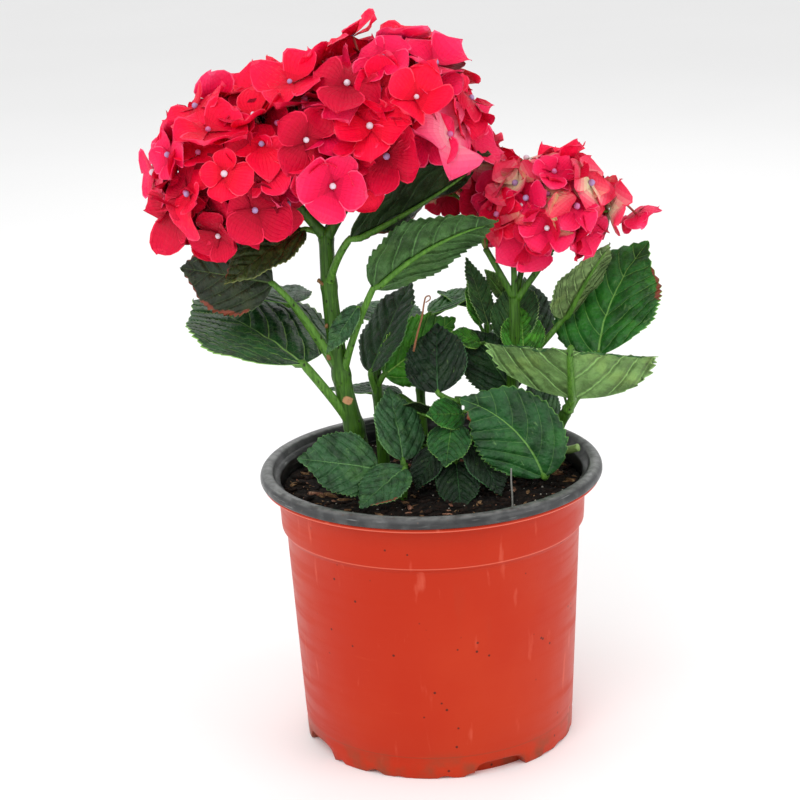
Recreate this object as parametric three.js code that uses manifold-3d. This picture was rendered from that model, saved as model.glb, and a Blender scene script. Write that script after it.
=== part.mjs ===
// A mophead hydrangea in its nursery pot, as it stands on a garden centre's bench.
// Millimetres, +Z up, +X to the right, -Y towards the front. The origin is the middle of the pot's flat underside.
import * as THREE from "three";
import { mergeVertices } from "three/addons/utils/BufferGeometryUtils.js";
import Module from "manifold-3d";

const wasm = await Module();
wasm.setup();

// ---------------------------------------------------------------- driving dimensions

const CLEARANCE = 0.3; // air between two separate solids that touch on the real plant
const DEGREE = Math.PI / 180;

const POT = {
  height: 182.5,
  footRadius: 87.3, // at the flat underside
  stepHeight: 145.5, // where the collar steps out from the tapering wall
  stepRadius: 94.8,
  collarRadius: 97.6,
  collarTopRadius: 98.9,
  wall: 1.6,
  floor: 2,
  lipRadius: 110,
  lipWidth: 9,
  lipDepth: 9.5,
  sides: 32,
};
const NOTCH = { count: 4, first: -65, width: 34, height: 9, depth: 7 }; // drainage notches at the foot
const SOIL = { top: 168, footRadius: 78, chamfer: 12 };

const LEAF = {
  thickness: 0.012, // share of its length
  rows: 5,
  baseWidth: 0.06, // share of the blade's half width left at its two ends
  peak: [0.55, 0.8], // powers of the outline towards the base and towards the tip
  petiole: 0.28, // its radius for each root millimetre of the blade's width
  petioleRows: 3,
};
const FLORET = { thickness: 1.2, pedicelRadius: 1.3, notch: 0.76, cup: 0.12 };

// ---------------------------------------------------------------- solids

/** A closed three.js geometry as a solid. */
function solid(geometry) {
  const bare = geometry.clone();
  bare.deleteAttribute("normal");
  bare.deleteAttribute("uv");
  const merged = mergeVertices(bare, 1e-4);
  const made = new wasm.Manifold(
    new wasm.Mesh({
      numProp: 3,
      vertProperties: new Float32Array(merged.attributes.position.array),
      triVerts: new Uint32Array(merged.index.array),
    }),
  );
  return made;
}

/** A solid's surface as a three.js geometry. */
function geometryOf(body) {
  const mesh = body.getMesh();
  const geometry = new THREE.BufferGeometry();
  geometry.setAttribute("position", new THREE.BufferAttribute(mesh.vertProperties, 3));
  geometry.setIndex(new THREE.BufferAttribute(mesh.triVerts, 1));
  geometry.computeVertexNormals();
  return geometry;
}

/** The union of several solids. */
const fuse = (bodies) => bodies.reduce((sum, body) => sum.add(body));

/** The largest separate body in a solid: cutting can leave scraps behind. */
const largest = (body) => body.decompose().reduce((a, b) => (b.volume() > a.volume() ? b : a));

/** A turned solid from a closed profile of [radius, height] pairs, about the Z axis. */
function turned(profile, sides) {
  const points = profile.map(([radius, height]) => new THREE.Vector2(radius, height));
  return solid(new THREE.LatheGeometry(points, sides).rotateX(Math.PI / 2));
}

/** Moves every vertex of a geometry by a function of its position. */
function reshape(geometry, place) {
  const position = geometry.attributes.position;
  const vertex = new THREE.Vector3();
  for (let i = 0; i < position.count; i++) {
    vertex.fromBufferAttribute(position, i);
    position.setXYZ(i, ...place(vertex).toArray());
  }
  return geometry;
}

/** A limb: a tapering tube along a curve, its radius given by a function of the share of its length. */
function limb(curve, radiusAt, steps, sides) {
  const frames = curve.computeFrenetFrames(steps);
  const tube = new THREE.CylinderGeometry(1, 1, 1, sides, steps);
  return solid(
    reshape(tube, ({ x, y, z }) => {
      const step = Math.round((y + 0.5) * steps);
      const radius = radiusAt(step / steps);
      return curve
        .getPointAt(step / steps)
        .addScaledVector(frames.normals[step], -x * radius)
        .addScaledVector(frames.binormals[step], z * radius);
    }),
  );
}

/** A heading in degrees (0 right, 90 back, 180 left, 270 front) and a pitch above the level, as a direction. */
function direction(heading, pitch) {
  const level = Math.cos(pitch * DEGREE);
  return new THREE.Vector3(
    level * Math.cos(heading * DEGREE),
    level * Math.sin(heading * DEGREE),
    Math.sin(pitch * DEGREE),
  );
}

/** A repeatable stream of numbers from 0 to 1. */
function stream(seed) {
  let state = seed;
  return () => (state = (state * 16807) % 2147483647) / 2147483647;
}

// ---------------------------------------------------------------- pot and soil

function pot() {
  const { wall, floor } = POT;
  const flange = POT.height - POT.lipDepth - CLEARANCE;
  const shell = turned(
    [
      [0, 0],
      [POT.footRadius, 0],
      [POT.stepRadius, POT.stepHeight - 3],
      [POT.collarRadius, POT.stepHeight],
      [POT.collarTopRadius, flange - wall - 3],
      [POT.lipRadius - 2, flange - wall],
      [POT.lipRadius - 2, flange],
      [POT.collarTopRadius - wall + 1, flange],
      [POT.collarTopRadius - wall, flange - 3],
      [POT.collarRadius - wall, POT.stepHeight],
      [POT.stepRadius - wall, POT.stepHeight - 3],
      [POT.footRadius - wall, floor],
      [0, floor],
    ],
    POT.sides,
  );
  const notches = Array.from({ length: NOTCH.count }, (_, i) => {
    const box = new THREE.BoxGeometry(NOTCH.width, 2 * NOTCH.depth, 2 * NOTCH.height);
    box.translate(0, -POT.footRadius, 0);
    return solid(box.rotateZ((NOTCH.first + (i * 360) / NOTCH.count) * DEGREE));
  });
  return notches.reduce((body, notch) => body.subtract(notch), shell);
}

function potRim() {
  const { lipRadius: outer, lipWidth, lipDepth, height } = POT;
  const inner = outer - lipWidth;
  const low = height - lipDepth;
  const round = 2.5;
  return turned(
    [
      [inner, low],
      [outer - 0.5, low],
      [outer, low + round],
      [outer, height - round],
      [outer - round, height],
      [inner + round, height],
      [inner, height - round],
      [inner, low],
    ],
    POT.sides,
  );
}

function soil() {
  const side = POT.wall + CLEARANCE;
  return turned(
    [
      [0, POT.floor + CLEARANCE],
      [SOIL.footRadius, POT.floor + CLEARANCE],
      [POT.footRadius - side + 0.3, SOIL.chamfer],
      [POT.stepRadius - side, POT.stepHeight - 3],
      [POT.collarRadius - side, POT.stepHeight],
      [POT.collarTopRadius - side - 0.1, SOIL.top],
      [0, SOIL.top],
    ],
    POT.sides,
  );
}

// ---------------------------------------------------------------- stems

// Each stem: the points it passes through, its radius at the foot, above the flare and at the tip, and its sides.
const STEMS = {
  main_stem: {
    through: [[-43, 4, 160], [-46, 2, 195], [-53, 0, 230], [-57, -1, 262], [-60, 0, 300], [-60.5, 0, 336]],
    radii: [9.5, 6.9, 4.6],
  },
  right_stem: {
    through: [[48, 22, 160], [52, 18, 200], [56, 13, 250], [57, 11, 290]],
    radii: [6, 4.6, 3.4],
  },
  right_shoot: {
    through: [[74, 26, 160], [77, 22, 178], [84, 12, 200], [90, 6, 214]],
    radii: [6, 4.6, 3.2],
  },
  second_stem: {
    mass: "middle_mass",
    through: [[-30, 30, 160], [-32, 28, 200], [-33, 27, 235], [-31, 27, 246]],
    radii: [5, 4.2, 3],
  },
  front_shoot: {
    mass: "front_left_mass",
    through: [[-20, -22, 160], [-18, -24, 176], [-17, -26, 190]],
    radii: [4.5, 3.6, 2.6],
  },
  middle_shoot: {
    mass: "low_centre_mass",
    through: [[14, -6, 160], [16, -6, 190], [18, -4, 214], [19, -2, 226]],
    radii: [4.5, 3.6, 2.4],
  },
  centre_shoot: {
    mass: "centre_right_mass",
    through: [[40, 44, 160], [40, 44, 200], [40, 45, 235], [40, 45, 260]],
    radii: [4.5, 3.6, 2.4],
  },
  back_left_shoot: {
    mass: "back_left_mass",
    through: [[-4, 62, 160], [-5, 64, 200], [-6, 66, 235], [-7, 67, 254]],
    radii: [4.5, 3.6, 2.4],
  },
  back_right_shoot: {
    mass: "back_right_mass",
    through: [[52, 66, 160], [54, 68, 200], [55, 70, 235], [56, 71, 250]],
    radii: [4.5, 3.6, 2.4],
  },
};
const FLARE = 0.16; // share of a stem's length that its root flare takes

/** A stem's centreline. */
const centreline = (points) =>
  new THREE.CatmullRomCurve3(points.map((point) => new THREE.Vector3(...point)), false, "centripetal");

/** The radius along a stem: a root flare, then an even taper. */
function taper([foot, shaft, tip]) {
  return (share) => {
    const flare = Math.max(0, 1 - share / FLARE) ** 2;
    return shaft + (tip - shaft) * share + (foot - shaft) * flare;
  };
}

/** A stem, cut flat where it stands on the soil. grow thickens it, to cut others clear of it. */
function stem({ through, radii }, grow = 0) {
  const radiusAt = taper(radii);
  const whole = limb(centreline(through), (share) => radiusAt(share) + grow, 9, 8);
  return whole.subtract(ground(grow));
}

/** Everything below the soil's surface. */
function ground(grow = 0) {
  const block = new THREE.BoxGeometry(400, 400, 200);
  return solid(block.translate(0, 0, SOIL.top + CLEARANCE - grow - 100));
}

/** The point on a stem's centreline at a height. A leaf that springs from a petiole gives the point itself. */
function onStem(name, height, z) {
  if (z !== undefined) return new THREE.Vector3(name, height, z);
  const curve = centreline(STEMS[name].through);
  let [low, high] = [0, 1];
  for (let i = 0; i < 24; i++) {
    const middle = (low + high) / 2;
    if (curve.getPointAt(middle).z < height) low = middle;
    else high = middle;
  }
  return curve.getPointAt(low);
}

// The stalks from a stem's fork to its flower head: from where, heading, rise, length and radii.
const RAYS = {
  left_bough: { from: [-61.5, -0.5, 334], heading: 195, rise: 52, length: 51, radii: [3.4, 2.8] },
  middle_bough: { from: [-59.5, -1.5, 334], heading: 352, rise: 56, length: 47, radii: [3.4, 2.8] },
  back_bough: { from: [-59.5, 1, 334], heading: 46, rise: 58, length: 48, radii: [3.2, 2.6] },
  right_ray_1: { from: [56, 10.5, 287], heading: 200, rise: 62, length: 38, radii: [2.3, 1.9] },
  right_ray_2: { from: [56.5, 9.5, 287], heading: 265, rise: 82, length: 35, radii: [2.1, 1.8] },
  right_ray_3: { from: [58, 12, 287], heading: 30, rise: 74, length: 36, radii: [2.1, 1.8] },
  right_ray_4: { from: [58.5, 10, 286], heading: 345, rise: 54, length: 38, radii: [2.3, 1.9] },
};

/** A ray's two ends. */
function rayEnds({ from, heading, rise, length }) {
  const foot = new THREE.Vector3(...from);
  return [foot, foot.clone().addScaledVector(direction(heading, rise), length)];
}

function ray(row, grow = 0) {
  const [foot, head] = rayEnds(row);
  const [thick, thin] = row.radii;
  return limb(new THREE.LineCurve3(foot, head), (share) => thick + (thin - thick) * share + grow, 2, 6);
}

// ---------------------------------------------------------------- leaves

// One row for each leaf, grouped under the node it is fused into. on names the stem and the height it springs
// from. petiole: heading, rise, length. blade: heading, pitch, length, width. roll turns the upper side about
// the midrib, bend droops the tip, cup folds the two halves up, and crease folds the blade over at one of its
// rows. Headings are 0 right, 90 back, 180 left, 270 front. Angles in degrees, lengths in millimetres.
const LEAVES = {
  left_veined_leaf: [
    { on: ["main_stem", 208], petiole: [207, 56, 58], blade: [136, 25, 96, 106], roll: 3, bend: 12, cup: 4, sweep: 10 },
  ],
  left_shaded_leaf: [
    { on: ["main_stem", 243], petiole: [209, 63, 83], blade: [162, 7, 66, 49], roll: -72, bend: 12, cup: 4 },
  ],
  left_upper_leaf: [
    { on: ["main_stem", 334], petiole: [193, 27, 16], blade: [210, -18, 62, 40], roll: -15, bend: 15, cup: 6 },
  ],
  right_upper_leaf: [
    { on: ["main_stem", 302], petiole: [287, 49, 51], blade: [18, 18, 106, 66], roll: -41, bend: -12, cup: 10 },
  ],
  right_arching_leaf: [
    { on: ["main_stem", 241], petiole: [306, 65, 72], blade: [7, 45, 94, 58], roll: -55, bend: 40, cup: 4 },
  ],
  right_facing_leaf: [
    { on: ["right_shoot", 208], petiole: [346, 57, 47], blade: [84, 47, 84, 73], roll: -22, bend: -6, cup: 6, sweep: -45 },
  ],
  right_rear_leaf: [
    { on: ["right_stem", 235], petiole: [19, 39, 49], blade: [337, 66, 62, 49], roll: -18, bend: 15, cup: 4 },
  ],
  right_folded_leaf: [
    { on: ["right_shoot", 212], petiole: [299, 52, 12], blade: [264, 57, 116, 106], roll: -7, bend: 0, cup: 0, crease: [2, -150] },
  ],
  front_right_leaf: [
    { on: ["right_shoot", 176], petiole: [266, -8, 58], blade: [154, 77, 77, 54], roll: -52, bend: 8, cup: 3, sweep: 54 },
  ],
  front_left_mass: [
    { on: ["front_shoot", 180], petiole: [189, 27, 18], blade: [209, 20, 56, 42], roll: -59, bend: 12, cup: 3 },
    { on: ["front_shoot", 186], petiole: [105, 79, 6], blade: [101, 59, 50, 37], roll: 26, bend: 10, cup: 6 },
    { on: ["front_shoot", 176], petiole: [299, 64, 19], blade: [224, -17, 42, 30], roll: -19, bend: 12, cup: 4 },
  ],
  middle_mass: [
    { on: ["second_stem", 220], petiole: [237, 57, 21], blade: [42, 60, 68, 41], roll: -5, bend: 10, cup: 6 },
    { on: ["second_stem", 225], petiole: [300, 54, 13], blade: [19, 30, 62, 43], roll: 83, bend: 15, cup: 3 },
  ],
  low_centre_mass: [
    { on: ["middle_shoot", 222], petiole: [182, 21, 16], blade: [91, 61, 47, 43], roll: -22, bend: 10, cup: 6 },
    { on: ["middle_shoot", 212], petiole: [330, 32, 8], blade: [222, 15, 31, 22], roll: -54, bend: 10, cup: 3 },
    { on: ["middle_shoot", 202], petiole: [250, 56, 15], blade: [261, -25, 36, 28], roll: -4, bend: 10, cup: 4 },
    { on: ["middle_shoot", 184], petiole: [272, 24, 13], blade: [273, -33, 38, 28], roll: 8, bend: 8, cup: 4 },
    { on: ["middle_shoot", 196], petiole: [327, 21, 12], blade: [310, -39, 41, 32], roll: -5, bend: 10, cup: 4 },
    { on: ["middle_shoot", 190], petiole: [206, 37, 16], blade: [226, -42, 32, 24], roll: -3, bend: 10, cup: 4 },
  ],
  centre_right_mass: [
    { on: ["centre_shoot", 215], petiole: [297, 4, 44], blade: [140, 51, 51, 44], roll: -27, bend: 12, cup: 6 },
    { on: ["centre_shoot", 250], petiole: [261, 4, 22], blade: [202, 29, 22, 16], roll: -40, bend: 5, cup: 4 },
    { on: ["centre_shoot", 252], petiole: [275, 46, 13], blade: [135, 71, 46, 19], roll: -3, bend: 8, cup: 10 },
    { on: ["centre_shoot", 250], petiole: [239, 47, 15], blade: [127, 71, 30, 15], roll: 7, bend: 8, cup: 4 },
    { on: ["centre_shoot", 255], petiole: [20, 42, 28], blade: [154, 53, 25, 19], roll: 69, bend: 8, cup: 4 },
    { on: ["centre_shoot", 242], petiole: [295, 13, 40], blade: [73, 61, 44, 34], roll: -12, bend: 10, cup: 6 },
    { on: ["centre_shoot", 240], petiole: [338, 6, 38], blade: [92, 59, 47, 36], roll: 36, bend: 10, cup: 6 },
    { on: ["centre_shoot", 232], petiole: [298, 12, 55], blade: [89, 67, 31, 29], roll: 10, bend: 10, cup: 4 },
    { on: ["centre_shoot", 192], petiole: [327, -3, 54], blade: [114, 67, 38, 28], roll: 18, bend: 10, cup: 4 },
  ],
  small_twisted_leaf: [
    { on: [-40.5, -14, 280], petiole: [267, 83, 16], blade: [197, -52, 35, 17], roll: -32, bend: 0, cup: 4 },
  ],
  back_left_mass: [
    { on: ["back_left_shoot", 196], petiole: [160, 40, 18], blade: [160, 12, 52, 40], roll: 8, bend: 18, cup: 4 },
    { on: ["back_left_shoot", 212], petiole: [75, 42, 22], blade: [80, 14, 66, 50], roll: -4, bend: 20, cup: 4 },
    { on: ["back_left_shoot", 236], petiole: [120, 46, 20], blade: [118, 18, 62, 46], roll: 4, bend: 22, cup: 5 },
    { on: ["back_left_shoot", 250], petiole: [30, 50, 16], blade: [25, 24, 50, 38], roll: -6, bend: 16, cup: 5 },
  ],
  back_right_mass: [
    { on: ["back_right_shoot", 194], petiole: [20, 36, 20], blade: [15, 10, 50, 38], roll: -6, bend: 18, cup: 4 },
    { on: ["back_right_shoot", 212], petiole: [105, 42, 22], blade: [100, 14, 62, 47], roll: 4, bend: 20, cup: 4 },
    { on: ["back_right_shoot", 232], petiole: [60, 46, 20], blade: [62, 18, 60, 45], roll: -4, bend: 22, cup: 5 },
    { on: ["back_right_shoot", 246], petiole: [150, 50, 15], blade: [150, 26, 46, 35], roll: 6, bend: 16, cup: 5 },
  ],
  left_rear_leaf: [
    { on: ["main_stem", 240], petiole: [160, 58, 62], blade: [120, 10, 62, 50], roll: 6, bend: 22, cup: 4 },
  ],
};

/** The half width of a blade at a share of its length, against the widest. */
function outline(share) {
  const [low, high] = LEAF.peak;
  const widest = low / (low + high);
  const full = widest ** low * (1 - widest) ** high;
  return Math.max(LEAF.baseWidth, (share ** low * (1 - share) ** high) / full);
}

/** Where a petiole starts and ends, and the point it bends towards. */
function petioleLine(foot, row) {
  const [heading, rise, length] = row.petiole;
  const out = direction(heading, rise);
  const on = direction(row.blade[0], row.blade[1]);
  const bend = foot.clone().addScaledVector(out, length * 0.6);
  const head = foot.clone().addScaledVector(out, length * 0.85).addScaledVector(on, length * 0.15);
  return new THREE.QuadraticBezierCurve3(foot, bend, head);
}

/** The frames along a blade's midrib: place, and the ways along, up and across, at each row. */
function midrib(start, { blade: [heading, pitch, length], roll, bend, sweep = 0, crease = [-1, 0] }) {
  const along = direction(heading, pitch);
  const up = new THREE.Vector3(0, 0, 1).addScaledVector(along, -along.z).normalize();
  up.applyAxisAngle(along, roll * DEGREE);
  const across = along.clone().cross(up);
  const droop = (degrees) => [along, up].forEach((way) => way.applyAxisAngle(across, -degrees * DEGREE));
  const place = start.clone();
  const frames = [];
  for (let row = 0; row <= LEAF.rows; row++) {
    const fold = row === crease[0] ? crease[1] / 2 : 0;
    droop(fold);
    frames.push({ place: place.clone(), along: along.clone(), up: up.clone(), across: across.clone() });
    droop(fold + bend / LEAF.rows);
    for (const way of [along, across]) way.applyAxisAngle(up, (sweep / LEAF.rows) * DEGREE);
    place.addScaledVector(along, length / LEAF.rows);
  }
  return frames;
}

/** The frames up a petiole, turned as little as possible from the blade's first frame. */
function petioleFrames(line, first) {
  const frames = [];
  let { along, up, across } = first;
  for (let row = LEAF.petioleRows - 1; row >= 0; row--) {
    const tangent = line.getTangent(row / LEAF.petioleRows);
    const turn = new THREE.Quaternion().setFromUnitVectors(along, tangent);
    [along, up, across] = [tangent, up.clone().applyQuaternion(turn), across.clone().applyQuaternion(turn)];
    frames.unshift({ place: line.getPoint(row / LEAF.petioleRows), along, up, across });
  }
  return frames;
}

/** A whole leaf as one closed strip: a six-sided petiole that flattens into the blade. grow thickens it. */
function leaf(foot, row, grow = 0) {
  const [, , length, width] = row.blade;
  const line = petioleLine(foot, row);
  const ribs = midrib(line.getPoint(1), row);
  const frames = [...petioleFrames(line, ribs[0]), ...ribs];
  const radius = LEAF.petiole * Math.sqrt(width);
  const last = frames.length - 1;
  const strip = new THREE.BoxGeometry(2, 1, 1, 2, last, 1);
  return solid(
    reshape(strip, ({ x, y, z }) => {
      const step = Math.round((y + 0.5) * last);
      const share = (step - LEAF.petioleRows) / LEAF.rows;
      const onStalk = share <= 0;
      const { place, along, up, across } = frames[step];
      const half = onStalk ? radius * (1 - 0.3 * share) : (width * outline(share)) / 2;
      const thick = onStalk ? half * (x === 0 ? 2 : 1) : length * LEAF.thickness;
      const cup = onStalk ? 0 : row.cup * DEGREE;
      const out = x * (half + grow);
      return place
        .clone()
        .addScaledVector(across, out * Math.cos(cup))
        .addScaledVector(up, Math.abs(out) * Math.sin(cup) + z * (thick + 2 * grow))
        .addScaledVector(along, step === 0 ? -grow : step === last ? grow : 0);
    }),
  );
}

// ---------------------------------------------------------------- blossom

// Each head: its rounded lobes as centre, radii, share of the radii that the solid core takes, and how many
// florets a whole lobe would carry, and the lowest slope they stand on. floret is the range of their radii, and
// stray the one that hangs out on a long pedicel.
const HEADS = {
  large_flower_head: {
    seed: 71,
    floret: [17, 22],
    lobes: [
      { centre: [-22, 3, 403], radii: [58, 62, 58], core: 0.68, florets: 32, lowest: -0.62 },
      { centre: [-115, -13, 380], radii: [52, 52, 46], core: 0.66, florets: 26, lowest: -0.85 },
      { centre: [-70, -4, 392], radii: [46, 60, 50], core: 0.68, florets: 24, lowest: -0.45 },
    ],
  },
  small_flower_head: {
    seed: 29,
    floret: [14, 18],
    lobes: [
      { centre: [80, 10, 346], radii: [38, 36, 32], core: 0.6, florets: 20, lowest: -0.75 },
      { centre: [34, 42, 353], radii: [28, 28, 26], core: 0.6, florets: 12, lowest: -0.6 },
    ],
    stray: { place: [136, 9, 335], facing: [0.5, 0.1, -0.86], radius: 13 },
  },
};
const GOLDEN_ANGLE = Math.PI * (3 - Math.sqrt(5));

/** The florets of a head, by a seeded rule: evenly round each lobe, and none inside another lobe. */
function floretPlaces({ seed, floret, lobes, stray }) {
  const next = stream(seed);
  const places = [];
  if (stray) {
    const place = new THREE.Vector3(...stray.place);
    const facing = new THREE.Vector3(...stray.facing).normalize();
    places.push({ place, facing, radius: stray.radius, spin: 0, root: new THREE.Vector3(...lobes[0].centre) });
  }
  lobes.forEach(({ centre, radii, core, florets, lowest }, index) => {
    const middle = new THREE.Vector3(...centre);
    for (let i = 0; i < florets; i++) {
      const slope = 1 - (2 * (i + 0.5)) / florets;
      const turn = i * GOLDEN_ANGLE + index;
      const [stand, size, lean, spin] = [next(), next(), next(), next()];
      if (slope < lowest) continue;
      const level = Math.sqrt(1 - slope * slope);
      const way = new THREE.Vector3(level * Math.cos(turn), level * Math.sin(turn), slope);
      const reach = way.clone().multiply(new THREE.Vector3(...radii));
      const place = middle.clone().addScaledVector(reach, 0.9 + 0.1 * stand);
      const buried = lobes.some(
        (other, j) =>
          j !== index &&
          place.clone().sub(new THREE.Vector3(...other.centre)).divide(new THREE.Vector3(...other.radii)).length() < 0.86,
      );
      if (buried) continue;
      const facing = reach.clone().normalize();
      facing.z += 0.35 * lean;
      facing.normalize();
      const radius = floret[0] + (floret[1] - floret[0]) * size;
      const root = middle.clone().addScaledVector(reach, core * 0.9);
      places.push({ place, facing, radius, spin: spin * Math.PI, root });
    }
  });
  return places;
}

/** One floret: four sepals in a shallow cup, on a pedicel that comes up from the core. grow thickens it. */
function floretSolid({ place, facing, radius, spin, root }, grow = 0) {
  const spindle = new THREE.CylinderGeometry(1, 1, 2, 8, 2);
  const turn = new THREE.Quaternion().setFromUnitVectors(new THREE.Vector3(0, 1, 0), facing);
  const { thickness, pedicelRadius, notch, cup } = FLORET;
  return solid(
    reshape(spindle, ({ x, y, z }) => {
      const angle = Math.atan2(z, x);
      const rim = Math.hypot(x, z) > 0.1;
      const tip = Math.round((angle / Math.PI) * 4) % 2 === 0;
      const sepal = y > 0.5 && rim;
      const out = sepal ? radius * (tip ? 1 : notch) + grow : rim ? pedicelRadius + grow : 0;
      const lift = (sepal ? radius * cup : y > 0.5 ? thickness / 2 : -thickness) + Math.sign(y) * grow;
      const from = y < -0.5 ? root : place.clone().addScaledVector(facing, lift);
      const way = new THREE.Vector3(out * Math.cos(angle + spin), 0, out * Math.sin(angle + spin));
      return way.applyQuaternion(turn).add(from);
    }),
  );
}

/** A head's cores, one rounded body for each lobe. */
function cores({ lobes }) {
  return lobes.map(({ centre, radii, core }) => {
    const ball = new THREE.IcosahedronGeometry(1, 1);
    ball.scale(...radii.map((radius) => radius * core));
    return solid(ball.translate(...centre));
  });
}

/** A whole head: cores and florets, without the florets that would touch the bodies in the way. */
function flowerHead(row, inTheWay) {
  const florets = floretPlaces(row)
    .filter((floret) => floretSolid(floret, CLEARANCE).intersect(inTheWay).volume() < 1e-6)
    .map((floret) => floretSolid(floret));
  return fuse([...cores(row), ...florets]);
}

// ---------------------------------------------------------------- assembly

const plant = new THREE.Group();
plant.name = "potted_hydrangea";
const finishes = {
  terracotta: { color: 0xc8462c, roughness: 0.5 },
  black_plastic: { color: 0x2b2c2e, roughness: 0.45 },
  potting_soil: { color: 0x2a1d17, roughness: 1 },
  stem_green: { color: 0x5c8a3c, roughness: 0.6 },
  leaf_green: { color: 0x2f5a33, roughness: 0.55 },
  sepal_red: { color: 0xd81f45, roughness: 0.6 },
};
const paints = Object.fromEntries(
  Object.entries(finishes).map(([name, finish]) => [name, new THREE.MeshStandardMaterial({ ...finish, metalness: 0 })]),
);

function place(name, body, finish) {
  const mesh = new THREE.Mesh(geometryOf(body), paints[finish]);
  mesh.name = name;
  plant.add(mesh);
}

place("pot", pot(), "terracotta");
place("pot_rim", potRim(), "black_plastic");
place("soil", soil(), "potting_soil");

// Limbs: each is cut clear of those before it.
let taken = ground(); // the soil and everything placed so far above it, thickened by the clearance
const take = (body) => (taken = taken.add(body));
for (const [name, row] of Object.entries(STEMS)) {
  if (!row.mass) place(name, stem(row), "stem_green");
  if (!row.mass) take(stem(row, CLEARANCE));
}
for (const [name, row] of Object.entries(RAYS)) {
  place(name, largest(ray(row).subtract(taken)), "stem_green");
  take(ray(row, CLEARANCE));
}

// Leaves and leafy shoots: the stem of a shoot and its leaves are one body, cut clear of the ones before.
for (const [name, rows] of Object.entries(LEAVES)) {
  const shoots = Object.values(STEMS).filter((row) => row.mass === name);
  const grown = (grow) =>
    fuse([...shoots.map((row) => stem(row, grow)), ...rows.map((row) => leaf(onStem(...row.on), row, grow))]);
  place(name, largest(grown(0).subtract(taken)), "leaf_green");
  take(grown(CLEARANCE));
}

// Heads: the rays end in sockets in the cores, and a floret that would touch anything else is left out.
const rays = fuse(Object.values(RAYS).map((line) => ray(line, CLEARANCE)));
for (const [name, row] of Object.entries(HEADS)) {
  const head = largest(flowerHead(row, taken.subtract(rays)).subtract(rays));
  place(name, head, "sepal_red");
  take(head);
}

export default plant;
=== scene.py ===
"""A mophead hydrangea in its nursery pot: pot, potting mix, stems, leaves and two flower heads.

Sizes in the tables are millimetres, and each piece is scaled to metres when it is published.
Z is up, the pot stands on the origin and its front looks towards -Y.
"""

import logging
import math
from collections.abc import Callable, Iterable, Sequence
from dataclasses import dataclass, field
from enum import Enum

import bmesh
import bpy
from mathutils import Matrix, Quaternion, Vector, noise


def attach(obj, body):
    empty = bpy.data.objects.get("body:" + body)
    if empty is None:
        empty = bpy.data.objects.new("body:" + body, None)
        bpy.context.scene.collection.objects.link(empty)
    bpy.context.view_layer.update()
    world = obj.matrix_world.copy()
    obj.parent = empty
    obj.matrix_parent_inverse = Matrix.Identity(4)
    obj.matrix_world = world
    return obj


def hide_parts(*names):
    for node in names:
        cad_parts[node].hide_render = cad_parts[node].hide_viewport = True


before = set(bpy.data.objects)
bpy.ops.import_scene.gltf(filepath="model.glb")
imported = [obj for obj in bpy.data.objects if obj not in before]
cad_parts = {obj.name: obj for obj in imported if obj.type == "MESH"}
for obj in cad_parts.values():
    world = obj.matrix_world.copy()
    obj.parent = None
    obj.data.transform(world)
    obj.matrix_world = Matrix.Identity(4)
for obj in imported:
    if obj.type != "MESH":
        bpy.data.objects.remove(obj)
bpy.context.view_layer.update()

LOG = logging.getLogger("hydrangea")
MM = 0.001
SKY = Vector((0, 0, 1))
GOLDEN_ANGLE = math.pi * (3 - math.sqrt(5))
SIDE_VEINS = 6.0  # side veins along a blade
VEIN_SLOPE = 0.75  # how far a side vein runs forward on its way out
VEIN_ARCH = 1.9  # how strongly it bends forward there

Socket = bpy.types.NodeSocket
Feed = Socket | float | tuple[float, ...]
Colour = tuple[float, float, float, float]
Point = tuple[float, float, float]


# ---------------------------------------------------------------- small tools


def shade(code: str) -> Colour:
    """Turns a paint code such as c8462c into a linear colour.

    Args:
        code: Six hexadecimal digits, red first.

    Returns:
        The colour with an alpha of one.
    """
    parts = [int(code[i : i + 2], 16) / 255 for i in (0, 2, 4)]
    red, green, blue = (
        part / 12.92 if part <= 0.04045 else ((part + 0.055) / 1.055) ** 2.4
        for part in parts
    )
    return red, green, blue, 1.0


def spread(colour: Colour) -> Point:
    """Gives how far red, green and blue light spread under a skin of a colour, in metres."""
    red, green, blue, _ = colour
    return 0.001 + red * 0.003, 0.001 + green * 0.003, 0.001 + blue * 0.003


def direction(heading: float, pitch: float) -> Vector:
    """Gives a direction from two angles.

    Args:
        heading: Degrees: 0 right, 90 back, 180 left, 270 front.
        pitch: Degrees above the level.

    Returns:
        The unit vector.
    """
    turn, rise = math.radians(heading), math.radians(pitch)
    level = math.cos(rise)
    return Vector((level * math.cos(turn), level * math.sin(turn), math.sin(rise)))


def stream(seed: int) -> Callable[[], float]:
    """Makes a repeatable stream of numbers.

    Args:
        seed: Where the stream starts.

    Returns:
        A function that gives the next number, from 0 to 1.
    """
    state = [seed]

    def draw() -> float:
        """Gives the next number."""
        state[0] = state[0] * 16807 % 2147483647
        return state[0] / 2147483647

    return draw


def blend(low: float, high: float, share: float) -> float:
    """Gives the value at a share of the way from low to high."""
    return low + (high - low) * share


def ease(value: float, low: float, high: float) -> float:
    """Rises smoothly from 0 to 1.

    Args:
        value: The value to place.
        low: Where the rise starts.
        high: Where it ends.

    Returns:
        The share risen.
    """
    share = min(1.0, max(0.0, (value - low) / (high - low)))
    return share * share * (3 - 2 * share)


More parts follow.
